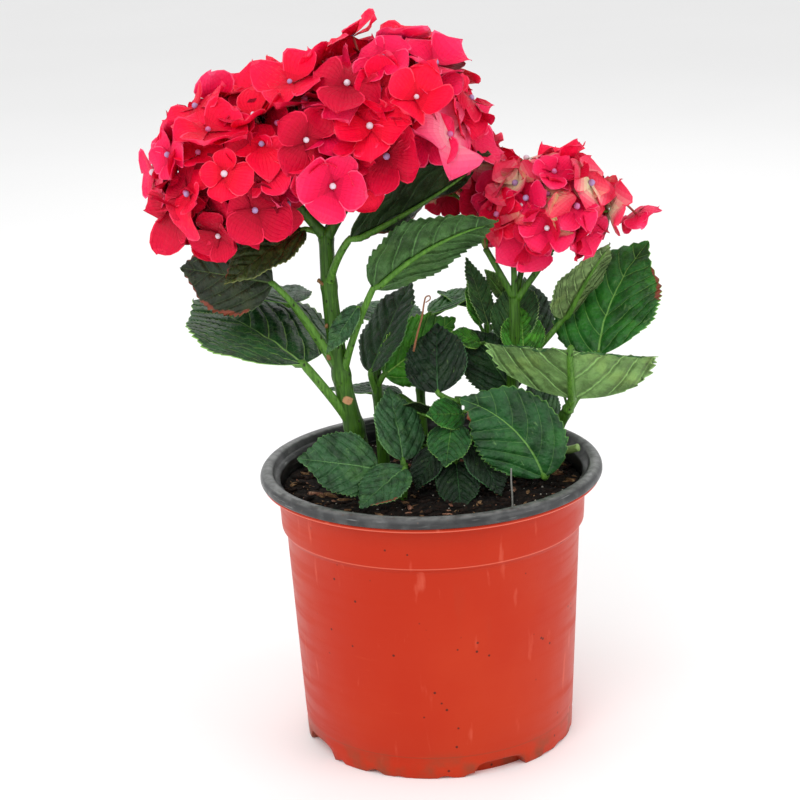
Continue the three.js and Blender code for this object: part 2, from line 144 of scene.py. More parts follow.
class Spline:
    """A smooth centripetal curve through points, with even steps along its length."""

    SAMPLES = 240

    def __init__(self, points: Iterable[Sequence[float]]) -> None:
        """Takes the points in millimetres and measures the curve.

        Args:
            points: The points that the curve passes, in millimetres.
        """
        self.points = [Vector(point) for point in points]
        self.samples = [self.at(i / self.SAMPLES) for i in range(self.SAMPLES + 1)]
        self.reached = [0.0]
        for before, after in zip(self.samples, self.samples[1:]):
            self.reached.append(self.reached[-1] + (after - before).length)

    def at(self, share: float) -> Vector:
        """Gives the point at a share of the curve's spans.

        Args:
            share: From 0 at the first point to 1 at the last.

        Returns:
            The point.
        """
        points, last = self.points, len(self.points) - 1
        span = min(int(share * last), last - 1)
        rest = share * last - span
        b, c = points[span], points[span + 1]
        a = points[span - 1] if span else b * 2 - c
        d = points[span + 2] if span + 2 <= last else c * 2 - b
        ab, bc, cd = (
            math.sqrt((q - p).length) or 1.0 for p, q in ((a, b), (b, c), (c, d))
        )
        out = ((b - a) / ab - (c - a) / (ab + bc) + (c - b) / bc) * bc
        end = ((c - b) / bc - (d - b) / (bc + cd) + (d - c) / cd) * bc
        return (
            b
            + out * rest
            + ((c - b) * 3 - out * 2 - end) * rest**2
            + ((b - c) * 2 + out + end) * rest**3
        )

    def even(self, share: float) -> Vector:
        """Gives the point at a share of the curve's length.

        Args:
            share: From 0 at the first point to 1 at the last.

        Returns:
            The point.
        """
        goal = min(1.0, max(0.0, share)) * self.reached[-1]
        low = max(i for i, length in enumerate(self.reached) if length <= goal)
        if low == self.SAMPLES:
            return self.samples[-1].copy()
        span = self.reached[low + 1] - self.reached[low]
        return self.samples[low].lerp(
            self.samples[low + 1], (goal - self.reached[low]) / span
        )

    def share_at(self, height: float) -> float:
        """Gives the share of the length at which the curve passes a height.

        Args:
            height: The height in millimetres.

        Returns:
            The share.
        """
        low, high = 0.0, 1.0
        for _ in range(24):
            middle = (low + high) / 2
            if self.even(middle).z < height:
                low = middle
            else:
                high = middle
        return low


def absorb(body: bmesh.types.BMesh, part: bmesh.types.BMesh) -> None:
    """Moves a finished part into a body and frees the part.

    Args:
        body: What the part is added to.
        part: The part, which is freed.
    """
    carrier = bpy.data.meshes.new("carrier")
    part.to_mesh(carrier)
    body.from_mesh(carrier)
    bpy.data.meshes.remove(carrier)
    part.free()


def tube(
    path: Sequence[Vector],
    radius: Callable[[float, float], float],
    sides: int,
    finish: int = 0,
) -> bmesh.types.BMesh:
    """Extrudes a closed tube ring by ring along a path.

    Args:
        path: The centre of each ring.
        radius: The radius from the share of the path and the angle round it.
        sides: How many sides a ring has.
        finish: The material index of its faces.

    Returns:
        The tube, with its angle, its share and a free mark in the vertex layer skin.
    """
    body = bmesh.new()
    skin = body.verts.layers.float_vector.new("skin")
    ring = bmesh.ops.create_circle(body, cap_ends=True, radius=1, segments=sides)[
        "verts"
    ]
    edges = list(body.edges)
    for index, vert in enumerate(ring):
        vert[skin] = Vector((index / sides, 0, 0))
    side: Vector | None = None
    tangent = Vector()
    for step, centre in enumerate(path):
        share = step / (len(path) - 1)
        ahead, behind = path[min(step + 1, len(path) - 1)], path[max(step - 1, 0)]
        new_tangent = (ahead - behind).normalized()
        if side is None:
            side = new_tangent.orthogonal().normalized()
        else:
            side = tangent.rotation_difference(new_tangent) @ side
            made = bmesh.ops.extrude_edge_only(body, edges=edges)["geom"]
            ring = [item for item in made if isinstance(item, bmesh.types.BMVert)]
            edges = [item for item in made if isinstance(item, bmesh.types.BMEdge)]
        tangent = new_tangent
        other = tangent.cross(side)
        for vert in ring:
            angle = vert[skin].x * math.tau
            reach = radius(share, angle)
            vert.co = centre + (side * math.cos(angle) + other * math.sin(angle)) * reach
            vert[skin].y = share
    bmesh.ops.edgeloop_fill(body, edges=edges)
    bmesh.ops.recalc_face_normals(body, faces=body.faces)
    for face in body.faces:
        face.material_index = finish
    return body


def turned(profile: Sequence[tuple[float, float]], steps: int) -> bmesh.types.BMesh:
    """Spins a closed profile a full turn about the Z axis.

    Args:
        profile: Radius and height of each corner, closed by itself or on the axis.
        steps: How many steps the turn takes.

    Returns:
        The turned body, closed and facing outwards.
    """
    body = bmesh.new()
    line = [body.verts.new((radius, 0, height)) for radius, height in profile]
    edges = [body.edges.new(pair) for pair in zip(line, line[1:])]
    if profile[0][0] > 0:
        edges.append(body.edges.new((line[-1], line[0])))
    bmesh.ops.spin(
        body,
        geom=[*line, *edges],
        axis=(0, 0, 1),
        cent=(0, 0, 0),
        angle=math.tau,
        steps=steps,
        use_merge=True,
    )
    bmesh.ops.remove_doubles(body, verts=body.verts, dist=1e-4)
    bmesh.ops.recalc_face_normals(body, faces=body.faces)
    return body


def publish(
    body: bmesh.types.BMesh,
    name: str,
    finishes: Sequence[bpy.types.Material],
    slot: str,
    nodes: Sequence[str] = (),
) -> bpy.types.Object:
    """Turns a finished body into a piece of the model.

    Args:
        body: The body in millimetres, which is freed.
        name: The piece's name.
        finishes: Its materials, by material index.
        slot: The record's slot that it takes its finish from; not used.
        nodes: The CAD nodes that it stands for.

    Returns:
        The piece's object.
    """
    bmesh.ops.scale(body, vec=(MM, MM, MM), verts=body.verts)
    for face in body.faces:
        face.smooth = True
    mesh = bpy.data.meshes.new(name)
    body.to_mesh(mesh)
    body.free()
    for finish in finishes:
        mesh.materials.append(finish)
    piece = bpy.data.objects.new(name, mesh)
    bpy.context.scene.collection.objects.link(piece)
    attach(piece, "root")
    if nodes:
        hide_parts(*nodes)
    LOG.info("%s: %d faces", name, len(mesh.polygons))
    return piece


# ---------------------------------------------------------------- finishes


class Graph:
    """One material's nodes, wired by short calls."""

    def __init__(self, name: str) -> None:
        """Starts a material with a bare shader.

        Args:
            name: The material's name.
        """
        self.material = bpy.data.materials.new(name)
        self.material.use_nodes = True
        self.tree = self.material.node_tree
        self.tree.nodes.clear()
        self.shader = self.add("ShaderNodeBsdfPrincipled")
        output = self.add("ShaderNodeOutputMaterial")
        self.tree.links.new(self.shader.outputs["BSDF"], output.inputs["Surface"])

    def add(self, kind: str, **settings: object) -> bpy.types.Node:
        """Adds a node with its settings.

        Args:
            kind: The node's type.
            settings: Its properties by name.

        Returns:
            The node.
        """
        node = self.tree.nodes.new(kind)
        for name, value in settings.items():
            setattr(node, name, value)
        return node

    def feed(self, socket: Socket, value: Feed) -> None:
        """Links a socket to another, or sets it to a value.

        Args:
            socket: The socket to feed.
            value: Another socket, or a value.
        """
        if isinstance(value, bpy.types.NodeSocket):
            self.tree.links.new(value, socket)
        else:
            socket.default_value = value

    def math(self, operation: str, *values: Feed) -> Socket:
        """Adds a sum.

        Args:
            operation: The name of the sum, such as MULTIPLY.
            values: What goes in.

        Returns:
            What comes out.
        """
        node = self.add("ShaderNodeMath", operation=operation)
        for socket, value in zip(node.inputs, values):
            self.feed(socket, value)
        return node.outputs[0]

    def remap(
        self,
        value: Feed,
        low: float,
        high: float,
        to_low: float = 0.0,
        to_high: float = 1.0,
    ) -> Socket:
        """Eases a value from one range to another.

        Args:
            value: The value to change.
            low: The start of its range.
            high: The end of its range.
            to_low: What the start becomes.
            to_high: What the end becomes.

        Returns:
            The eased value.
        """
        node = self.add("ShaderNodeMapRange", interpolation_type="SMOOTHSTEP")
        for socket, number in zip(node.inputs, (value, low, high, to_low, to_high)):
            self.feed(socket, number)
        return node.outputs[0]

    def mix(self, share: Feed, first: Feed, second: Feed) -> Socket:
        """Mixes two colours by a share of the second.

        Args:
            share: How much of the second shows.
            first: The colour beneath.
            second: The colour on top.

        Returns:
            The mixed colour.
        """
        node = self.add("ShaderNodeMix", data_type="RGBA")
        for index, value in ((0, share), (6, first), (7, second)):
            self.feed(node.inputs[index], value)
        return node.outputs[2]

    def place(self, stretch: Point = (1.0, 1.0, 1.0)) -> Socket:
        """Gives the place on the piece in metres, stretched along its axes.

        Args:
            stretch: The factor along each axis.

        Returns:
            The stretched place.
        """
        point = self.add("ShaderNodeTexCoord").outputs["Object"]
        if stretch == (1.0, 1.0, 1.0):
            return point
        node = self.add("ShaderNodeMapping")
        self.feed(node.inputs["Vector"], point)
        node.inputs["Scale"].default_value = stretch
        return node.outputs[0]

    def up(self) -> Socket:
        """Gives the height on the piece in metres."""
        node = self.add("ShaderNodeSeparateXYZ")
        self.feed(node.inputs[0], self.place())
        return node.outputs[2]

    def layer(self, name: str) -> tuple[Socket, Socket, Socket]:
        """Gives the three numbers that the mesh carries in a layer.

        Args:
            name: The vertex layer's name.

        Returns:
            The three numbers.
        """
        source = self.add("ShaderNodeAttribute", attribute_name=name)
        node = self.add("ShaderNodeSeparateXYZ")
        self.feed(node.inputs[0], source.outputs["Vector"])
        return node.outputs[0], node.outputs[1], node.outputs[2]

    def join(self, x: Feed, y: Feed, z: Feed = 0.0) -> Socket:
        """Makes a vector of three numbers.

        Args:
            x: The first number.
            y: The second.
            z: The third.

        Returns:
            The vector.
        """
        node = self.add("ShaderNodeCombineXYZ")
        for socket, value in zip(node.inputs, (x, y, z)):
            self.feed(socket, value)
        return node.outputs[0]

    def noise(self, point: Feed, scale: float, detail: float = 3.0) -> Socket:
        """Gives cloudy noise from 0 to 1.

        Args:
            point: Where on the piece.
            scale: How fine it is.
            detail: How many finer layers it has.

        Returns:
            The noise.
        """
        node = self.add("ShaderNodeTexNoise")
        self.feed(node.inputs["Vector"], point)
        node.inputs["Scale"].default_value = scale
        node.inputs["Detail"].default_value = detail
        return node.outputs["Fac"]

    def cells(self, point: Feed, scale: float, feature: str = "F1") -> Socket:
        """Gives the distance inside cells.

        Args:
            point: Where on the piece.
            scale: Cells to the unit.
            feature: F1 for the distance to a cell's middle, DISTANCE_TO_EDGE to its edge.

        Returns:
            The distance.
        """
        node = self.add("ShaderNodeTexVoronoi", feature=feature)
        self.feed(node.inputs["Vector"], point)
        node.inputs["Scale"].default_value = scale
        return node.outputs["Distance"]

    def specks(self, point: Feed, scale: float, size: float, clump: float) -> Socket:
        """Scatters specks.

        Args:
            point: Where on the piece.
            scale: Cells to the metre.
            size: The radius of a speck, as a share of its cell.
            clump: How much noise must be passed for a speck to show.

        Returns:
            One on a speck and zero off it.
        """
        spot = self.remap(self.cells(point, scale), size, size * 0.6)
        shown = self.remap(self.noise(point, scale * 0.31, 1.0), clump, clump + 0.03)
        return self.math("MULTIPLY", spot, shown)

    def bump(self, height: Feed, depth: float, under: Feed | None = None) -> Socket:
        """Turns a height into relief.

        Args:
            height: The height from 0 to 1.
            depth: How deep one is, in metres.
            under: Another relief that this one lies on.

        Returns:
            The normal.
        """
        node = self.add("ShaderNodeBump")
        node.inputs["Distance"].default_value = depth
        self.feed(node.inputs["Height"], height)
        if under is not None:
            self.feed(node.inputs["Normal"], under)
        return node.outputs[0]

    def finish(self, **sockets: Feed) -> bpy.types.Material:
        """Sets the shader's sockets, with _ for each space in their names.

        Args:
            sockets: What goes into each socket.

        Returns:
            The finished material.
        """
        for name, value in sockets.items():
            self.feed(self.shader.inputs[name.replace("_", " ")], value)
        return self.material


@dataclass(frozen=True)
class PotPlastic:
    """Satin terracotta plastic with faint specks, scuffs and dirt at the foot, a painted shade line
    at the heel step, and painted highlight lines along the flange and the collar step.
    """

    body: Colour = shade("b22808")
    faded: Colour = shade("be3e1c")
    # The pale tint paints the highlight lines and the rubbed streaks; the dirt tint also paints the
    # shade line at the heel step.
    highlight_and_rub: Colour = shade("e87860")
    dirt: Colour = shade("74442c")
    speck: Colour = shade("3c1c12")
    heel_shade_line: float = 0.0148
    step_highlight_line: float = 0.1454
    flange_highlight_line: float = 0.1733

    def material(self) -> bpy.types.Material:
        """Makes the material."""
        g = Graph("terracotta_plastic")
        point = g.place()
        up = g.up()
        clouds = g.remap(g.noise(point, 9.0, 5.0), 0.35, 0.7)
        colour = g.mix(g.math("MULTIPLY", clouds, 0.45), self.body, self.faded)
        streaks = g.noise(g.place((60.0, 60.0, 7.0)), 1.0, 4.0)
        colour = g.mix(g.remap(streaks, 0.66, 0.86, 0.0, 0.18), colour, self.dirt)
        foot = g.math(
            "MULTIPLY",
            g.remap(up, 0.022, 0.002),
            g.remap(g.noise(point, 55.0, 4.0), 0.42, 0.66, 0.0, 0.75),
        )
        colour = g.mix(foot, colour, self.dirt)
        # Painted lines round the pot: a painted shade line at the heel step, and painted highlight
        # lines along the flange's lower edge and at the collar step.
        for level, reach, full, strength, tone in (
            (self.heel_shade_line, 0.0006, 0.0002, 0.35, self.dirt),
            (self.flange_highlight_line, 0.0008, 0.0003, 0.7, self.highlight_and_rub),
            (self.step_highlight_line, 0.0006, 0.0002, 0.5, self.highlight_and_rub),
        ):
            away = g.math("ABSOLUTE", g.math("SUBTRACT", up, level))
            line = g.remap(away, reach, full, 0.0, strength)
            colour = g.mix(line, colour, tone)
        spots = g.specks(point, 120.0, 0.13, 0.54)
        colour = g.mix(g.math("MULTIPLY", spots, 0.85), colour, self.speck)
        rubbed = g.noise(g.place((110.0, 110.0, 26.0)), 1.0, 5.0)
        colour = g.mix(g.remap(rubbed, 0.62, 0.76, 0.0, 0.3), colour, self.highlight_and_rub)
        scratches = g.noise(g.place((30.0, 30.0, 260.0)), 1.0, 2.0)
        colour = g.mix(g.remap(scratches, 0.7, 0.78, 0.0, 0.25), colour, self.faded)
        scuffs = g.noise(g.place((14.0, 14.0, 160.0)), 1.0, 3.0)
        rough = g.remap(scuffs, 0.4, 0.75, 0.36, 0.52)
        grain = g.noise(point, 900.0, 2.0)
        ripple = g.bump(g.noise(point, 22.0, 2.0), 0.0012)
        return g.finish(
            Base_Color=colour,
            Roughness=rough,
            Normal=g.bump(grain, 0.00006, ripple),
            Specular_IOR_Level=0.18,
        )


@dataclass(frozen=True)
class RimPlastic:
    """Dull black plastic with pale scuffs, a little dried potting mix, and a painted highlight over
    the top of its roll.
    """

    body: Colour = shade("17191b")
    scuff_and_highlight: Colour = shade("828482")
    soil: Colour = shade("4a3a30")
    # The top of the roll is lightened between these heights as a painted highlight.
    top_highlight_from: float = 0.1804
    top_highlight_full: float = 0.1824

    def material(self) -> bpy.types.Material:
        """Makes the material."""
        g = Graph("black_plastic")
        point = g.place()
        clouds = g.remap(g.noise(point, 90.0, 6.0), 0.46, 0.74, 0.0, 0.22)
        colour = g.mix(clouds, self.body, self.scuff_and_highlight)
        # Painted highlight: the pale scuff tint is laid over the top of the roll, broken by
        # patches, where light from above falls on it.
        top_highlight = g.remap(g.up(), self.top_highlight_from, self.top_highlight_full)
        patches = g.remap(g.noise(point, 170.0, 5.0), 0.3, 0.68, 0.2, 0.66)
        colour = g.mix(g.math("MULTIPLY", top_highlight, patches), colour, self.scuff_and_highlight)
        scratches = g.remap(
            g.noise(g.place((70.0, 70.0, 900.0)), 1.0, 3.0), 0.6, 0.74, 0.0, 0.6
        )
        colour = g.mix(scratches, colour, self.scuff_and_highlight)
        crumbs = g.specks(point, 260.0, 0.22, 0.6)
        colour = g.mix(g.math("MULTIPLY", crumbs, 0.7), colour, self.soil)
        ripple = g.bump(g.noise(point, 45.0, 2.0), 0.0008)
        return g.finish(
            Base_Color=colour,
            Roughness=g.remap(g.noise(point, 60.0, 4.0), 0.35, 0.7, 0.3, 0.5),
            Normal=g.bump(g.noise(point, 700.0, 3.0), 0.0001, ripple),
            Specular_IOR_Level=0.6,
        )


@dataclass(frozen=True)
class Grit:
    """A rough, granular finish, for the potting mix and what lies in it."""

    name: str
    dark: Colour
    light: Colour
    scale: float = 420.0
    depth: float = 0.0012

    def material(self) -> bpy.types.Material:
        """Makes the material."""
        g = Graph(self.name)
        point = g.place()
        grain = g.noise(point, self.scale, 6.0)
        patches = g.remap(g.noise(point, self.scale * 0.3, 3.0), 0.35, 0.7)
        share = g.math("MULTIPLY", g.remap(grain, 0.35, 0.7), patches)
        return g.finish(
            Base_Color=g.mix(share, self.dark, self.light),
            Roughness=0.95,
            Specular_IOR_Level=0.2,
            Normal=g.bump(grain, self.depth),
        )


@dataclass(frozen=True)
class StemSkin:
    """Smooth green skin with fine ribs, dark pores, and tan scars where the mesh marks them."""

    name: str
    green: Colour
    deep: Colour
    scar: Colour = shade("b98a62")
    pore: Colour = shade("1e2610")

    def material(self) -> bpy.types.Material:
        """Makes the material."""
        g = Graph(self.name)
        point = g.place()
        _, _, mark = g.layer("skin")
        ribs = g.noise(g.place((900.0, 900.0, 60.0)), 1.0, 3.0)
        colour = g.mix(g.remap(ribs, 0.35, 0.7), self.green, self.deep)
        clouds = g.remap(g.noise(point, 70.0, 3.0), 0.4, 0.7, 0.0, 0.6)
        colour = g.mix(clouds, colour, self.deep)
        pores = g.specks(g.place((1.0, 1.0, 0.6)), 260.0, 0.24, 0.44)
        colour = g.mix(g.math("MULTIPLY", pores, 0.85), colour, self.pore)
        scarred = g.remap(mark, 0.3, 0.6)
        colour = g.mix(scarred, colour, self.scar)
        rough = g.remap(ribs, 0.3, 0.7, 0.36, 0.55)
        relief = g.bump(ribs, 0.00035)
        return g.finish(
            Base_Color=colour,
            Roughness=rough,
            Normal=g.bump(pores, 0.0003, relief),
            Specular_IOR_Level=0.25,
            Subsurface_Weight=0.08,
            Subsurface_Radius=(0.002, 0.004, 0.001),
        )


class Tint(Enum):
    """Leaf colours: upper side, veins, underside, roughness, and how much side veins show."""

    DEEP = ("225628", "74a850", "527a3e", 0.36, 0.3)
    VEINED = ("1e4c24", "94c466", "527a3e", 0.34, 0.95)
    BLUISH = ("345e38", "6c9c5c", "5a7f46", 0.36, 0.25)
    # The next two tints are painted shade: darkened copies of the leaf green, given to leaves that
    # lie in shade under the heads and deep among the stems.
    NIGHT = ("142c18", "3f6e40", "2c4022", 0.36, 0.35)
    INK = ("26341e", "5a7440", "2c4022", 0.4, 0.4)
    OLIVE = ("44562a", "7c8448", "4e5e30", 0.42, 0.45)
    FOREST = ("1a3c1e", "4c7a3e", "4e7440", 0.36, 0.4)
    FRESH = ("266a24", "86bc5c", "6a9648", 0.36, 0.55)
    BRIGHT = ("3f8822", "9ed060", "7cac50", 0.45, 0.5)
    SAGE = ("305a2c", "8cb06a", "8eaa6c", 0.5, 0.5)
    PALE = ("3a7038", "a6ca7c", "86b066", 0.5, 0.6)


@dataclass(frozen=True)
class LeafSkin:
    """One side of a leaf: branching veins, netting, a lighter margin, scorch where marked, and
    painted light and shade in patches, beside the veins and over the crumples.
    """

    tint: Tint
    upper: bool
    scorch: Colour = shade("7a3a26")

    def material(self) -> bpy.types.Material:
        """Makes the material."""
        top, vein, under, rough, show = self.tint.value
        g = Graph(f"leaf_{self.tint.name.lower()}_{'upper' if self.upper else 'under'}")
        side, share, rim = g.layer("blade")
        scorched, hue, _ = g.layer("mark")
        out = g.math("ABSOLUTE", side)
        bowed = g.math("MULTIPLY", g.math("MULTIPLY", out, out), VEIN_ARCH)
        shift = g.math("ADD", g.math("MULTIPLY", out, VEIN_SLOPE), bowed)
        phase = g.math("MULTIPLY", g.math("SUBTRACT", share, shift), SIDE_VEINS)
        near = g.math("PINGPONG", phase, 0.5)
        sheet = g.join(side, share, hue)
        wander = g.math(
            "MULTIPLY", g.math("SUBTRACT", g.noise(sheet, 10.0, 3.0), 0.5), 0.07
        )
        near = g.math("ADD", near, wander)
        thin = 0.04 if self.upper else 0.06
        side_veins = g.remap(near, thin, thin * 0.25)
        side_veins = g.math("MULTIPLY", side_veins, g.remap(rim, 1.0, 0.75))
        taper = g.math("DIVIDE", out, g.math("SUBTRACT", 1.12, share))
        midrib = g.remap(taper, 0.013, 0.005)
        beside = g.math("ABSOLUTE", g.math("SUBTRACT", near, thin * 1.9))
        crease = g.remap(beside, thin * 1.1, 0.0)
        net = g.remap(
            g.cells(sheet, 26.0, "DISTANCE_TO_EDGE"), 0.05, 0.0, 0.0, 0.22
        )
        show = show if self.upper else 1.0
        shading = 0.3 if self.upper else 0.5
        shaded = g.math("MULTIPLY", crease, g.remap(rim, 1.0, 0.8, 0.0, shading))
        lines = g.math("MAXIMUM", g.math("MULTIPLY", side_veins, show), midrib)
        lines = g.math("MAXIMUM", lines, g.math("MULTIPLY", net, show))
        base = shade(top if self.upper else under)
        dark = tuple(channel * 0.42 for channel in base[:3]) + (1.0,)
        lit = (base[0] * 1.7, base[1] * 1.4, base[2] * 1.1, 1.0)
        clouds = g.remap(g.noise(sheet, 6.0, 6.0), 0.34, 0.6)
        colour = g.mix(clouds, dark, base)
        sunned = 0.75 if self.upper else 0.3
        patches = g.remap(g.noise(sheet, 3.4, 4.0), 0.5, 0.66, 0.0, sunned)
        colour = g.mix(patches, colour, lit)
        crumple = g.noise(sheet, 22.0, 5.0)
        # Painted shade: the blade is darkened where the crumple noise that also raises its relief
        # stands high.
        colour = g.mix(g.remap(crumple, 0.52, 0.7, 0.0, 0.5), colour, dark)
        scattered = g.noise(g.join(rim, share, side), 9.0, 5.0)
        flecks = g.remap(scattered, 0.64, 0.74, 0.0, 0.3)
        colour = g.mix(flecks, colour, shade(Tint.PALE.value[2]))
        colour = g.mix(shaded, colour, dark)
        strength = 0.8 if self.upper else 0.75
        raised = tuple(min(1.0, channel * 1.7) for channel in base[:3]) + (1.0,)
        light = shade(vein) if self.upper else raised
        colour = g.mix(g.math("MULTIPLY", lines, strength), colour, light)
        edge = g.remap(rim, 0.965, 1.0, 0.0, 0.7)
        colour = g.mix(edge, colour, light)
        colour = g.mix(g.remap(scorched, 0.2, 0.7), colour, self.scorch)
        puff = g.remap(near, 0.0, 0.3)
        height = g.math("SUBTRACT", puff, g.math("MULTIPLY", lines, 0.4))
        fine = g.noise(sheet, 70.0, 3.0)
        depth = 0.0003 + 0.0009 * show if self.upper else -0.0021
        relief = g.bump(height, depth)
        return g.finish(
            Base_Color=colour,
            Roughness=g.remap(fine, 0.3, 0.7, rough - 0.05, rough + 0.14),
            Normal=g.bump(fine, 0.0003, g.bump(crumple, 0.0014, relief)),
            Specular_IOR_Level=0.3 if self.upper else 0.25,
            Subsurface_Weight=0.05,
            Subsurface_Radius=(0.001, 0.003, 0.001),
        )


@dataclass(frozen=True)
class PlainSkin:
    """A thin skin of one base colour with fine relief, for beads, leaf edges, stalks and sprigs."""

    name: str
    colour: str
    gloss: float = 0.55
    grain: float = 500.0
    depth: float = 0.0003
    glow: float = 0.12
    mirror: float = 0.3

    def material(self) -> bpy.types.Material:
        """Makes the material."""
        g = Graph(self.name)
        point = g.place()
        fine = g.noise(point, self.grain, 4.0)
        soft = g.bump(g.noise(point, self.grain * 0.22, 2.0), self.depth * 3)
        return g.finish(
            Base_Color=shade(self.colour),
            Roughness=g.remap(fine, 0.3, 0.7, self.gloss - 0.08, self.gloss + 0.12),
            Normal=g.bump(fine, self.depth, soft),
            Subsurface_Weight=self.glow,
            Subsurface_Radius=spread(shade(self.colour)),
            Specular_IOR_Level=self.mirror,
        )


@dataclass(frozen=True)
class PetalSkin:
    """A sepal's skin: one base colour, with the fine raised veins that fan out from its claw."""

    name: str
    colour: str
    veins: float = 5.0

    def material(self) -> bpy.types.Material:
        """Makes the material."""
        g = Graph(self.name)
        point = g.place()
        across, along, kind = g.layer("petal")
        narrowing = g.math("SUBTRACT", 1.4, g.math("MULTIPLY", along, 0.6))
        fan = g.math("MULTIPLY", across, narrowing)
        wander = g.math("MULTIPLY", g.noise(g.join(across, along, kind), 3.0, 3.0), 0.5)
        phase = g.math("ADD", g.math("MULTIPLY", fan, self.veins), wander)
        near = g.math("PINGPONG", phase, 0.5)
        vein = g.remap(near, 0.0, 0.2)
        fine = g.noise(point, 420.0, 4.0)
        soft = g.bump(g.noise(point, 110.0, 3.0), 0.0015)
        return g.finish(
            Base_Color=shade(self.colour),
            Roughness=g.remap(fine, 0.3, 0.7, 0.44, 0.62),
            Normal=g.bump(vein, 0.00018, g.bump(fine, 0.0003, soft)),
            Subsurface_Weight=0.12,
            Subsurface_Radius=spread(shade(self.colour)),
            Specular_IOR_Level=0.14,
        )


# ---------------------------------------------------------------- pot and potting mix


@dataclass
class NurseryPot:
    """The moulded pot: a tapering shell with a collar, drainage notches and a rolled black rim."""

    height: float = 182.5
    foot_radius: float = 87.3
    step_height: float = 145.5
    step_radius: float = 94.8
    collar_radius: float = 97.6
    collar_top_radius: float = 98.9
    wall: float = 1.6
    floor: float = 2.0
    lip_radius: float = 110.0
    lip_width: float = 9.0
    lip_depth: float = 6.8
    clearance: float = 0.3
    heel_height: float = 14.5
    heel_step: float = 0.5
    notch_count: int = 4
    notch_first: float = -155.0
    notch_half: float = 11.2
    notch_height: float = 8.6
    notch_depth: float = 7.0
    notch_arch: float = 0.35
    nicks: float = 6.0
    nicks_from: float = 0.12
    steps: int = 160

    def build(self) -> None:
        """Builds the shell and the rim."""
        body = [PotPlastic().material()]
        publish(self.shell(), "pot_shell", body, "terracotta_plastic", ["pot"])
        rim = [RimPlastic().material()]
        publish(self.rim(), "pot_rolled_rim", rim, "black_plastic", ["pot_rim"])

    def shell(self) -> bmesh.types.BMesh:
        """Turns the shell and lifts its foot at the notches.

        Returns:
            The shell.
        """
        flange = self.height - self.lip_depth - self.clearance
        wall, foot = self.wall, self.foot_radius
        slope = (self.step_radius - foot) / (self.step_height - 3)
        heel = foot + slope * self.heel_height
        inner = foot - self.notch_depth
        outside = [
            (0.0, 1.2),
            (inner - 14, 1.2),
            (inner - 10, 0.0),
            (inner, 0.0),
            (inner + 0.05, 0.0),
            (foot - 0.9, 0.0),
            (foot - 0.25, 0.25),
            (foot, 0.9),
            (foot + slope * 9.2, 9.2),
            (heel - self.heel_step - 0.1, self.heel_height - 0.9),
            (heel, self.heel_height + 0.5),
            *(
                (
                    blend(heel, self.step_radius, share),
                    blend(self.heel_height, self.step_height - 3, share),
                )
                for share in (0.25, 0.5, 0.75)
            ),
            (self.step_radius - 0.1, self.step_height - 4.2),
            (self.step_radius + 0.25, self.step_height - 3.1),
            (self.collar_radius - 0.6, self.step_height - 0.9),
            (self.collar_radius, self.step_height),
            (self.collar_radius + 0.15, self.step_height + 1.4),
            (blend(self.collar_radius, self.collar_top_radius, 0.5), self.step_height + 11),
            (self.collar_top_radius, flange - wall - 3.4),
            (self.collar_top_radius + 0.9, flange - wall - 1.6),
            (self.lip_radius - 4, flange - wall - 0.8),
            (self.lip_radius - 2.2, flange - wall - 0.8),
            (self.lip_radius - 1.7, flange - wall - 0.3),
            (self.lip_radius - 1.7, flange),
        ]
        inside = [
            (self.collar_top_radius - wall + 1, flange),
            (self.collar_top_radius - wall, flange - 3),
            (self.collar_radius - wall, self.step_height),
            (self.step_radius - wall, self.step_height - 3),
            (foot - wall, 12.0),
            (0.0, 12.0),
        ]
        body = turned(outside + inside, self.steps)
        for vert in body.verts:
            radius = vert.co.to_2d().length
            if vert.co.z > 1.0 or radius < inner + 0.02:
                continue
            heading = math.degrees(math.atan2(vert.co.y, vert.co.x))
            apart = min(
                abs((heading - self.notch_first - i * 360 / self.notch_count + 180) % 360 - 180)
                for i in range(self.notch_count)
            )
            nick = noise.noise(Vector((heading * 0.16, 3.7, 0.5)))
            vert.co.z += self.nicks * max(0.0, nick - self.nicks_from)
            if apart < self.notch_half:
                arch = 1 - self.notch_arch * (apart / self.notch_half) ** 4
                vert.co.z = self.notch_height * arch
        return body

    def rim(self) -> bmesh.types.BMesh:
        """Turns the rolled rim, with the skirt that lines the pot down to the potting mix.

        Returns:
            The rim.
        """
        outer, low, top = self.lip_radius, self.height - self.lip_depth, self.height
        inner = outer - self.lip_width
        liner = self.collar_top_radius - self.wall - 0.15
        return turned(
            [
                (liner - 0.9, low - 16.7),
                (liner - 0.78, low - 16.7),
                (liner + 0.12, low - 0.2),
                (inner + 0.2, low),
                (outer - 0.9, low),
                (outer - 0.3, low + 0.3),
                (outer, low + 1.2),
                (outer, top - 4.2),
                (outer - 0.25, top - 3.1),
                (outer - 0.8, top - 1.9),
                (outer - 1.6, top - 0.9),
                (outer - 2.7, top - 0.25),
                (outer - 3.9, top),
                (inner + 3.2, top - 0.1),
                (inner + 1.6, top - 0.6),
                (inner + 0.6, top - 1.8),
                (inner, top - 4.0),
                (inner - 1.2, low + 2.0),
                (liner + 0.3, low + 0.8),
                (liner, low - 0.6),
            ],
            self.steps,
        )


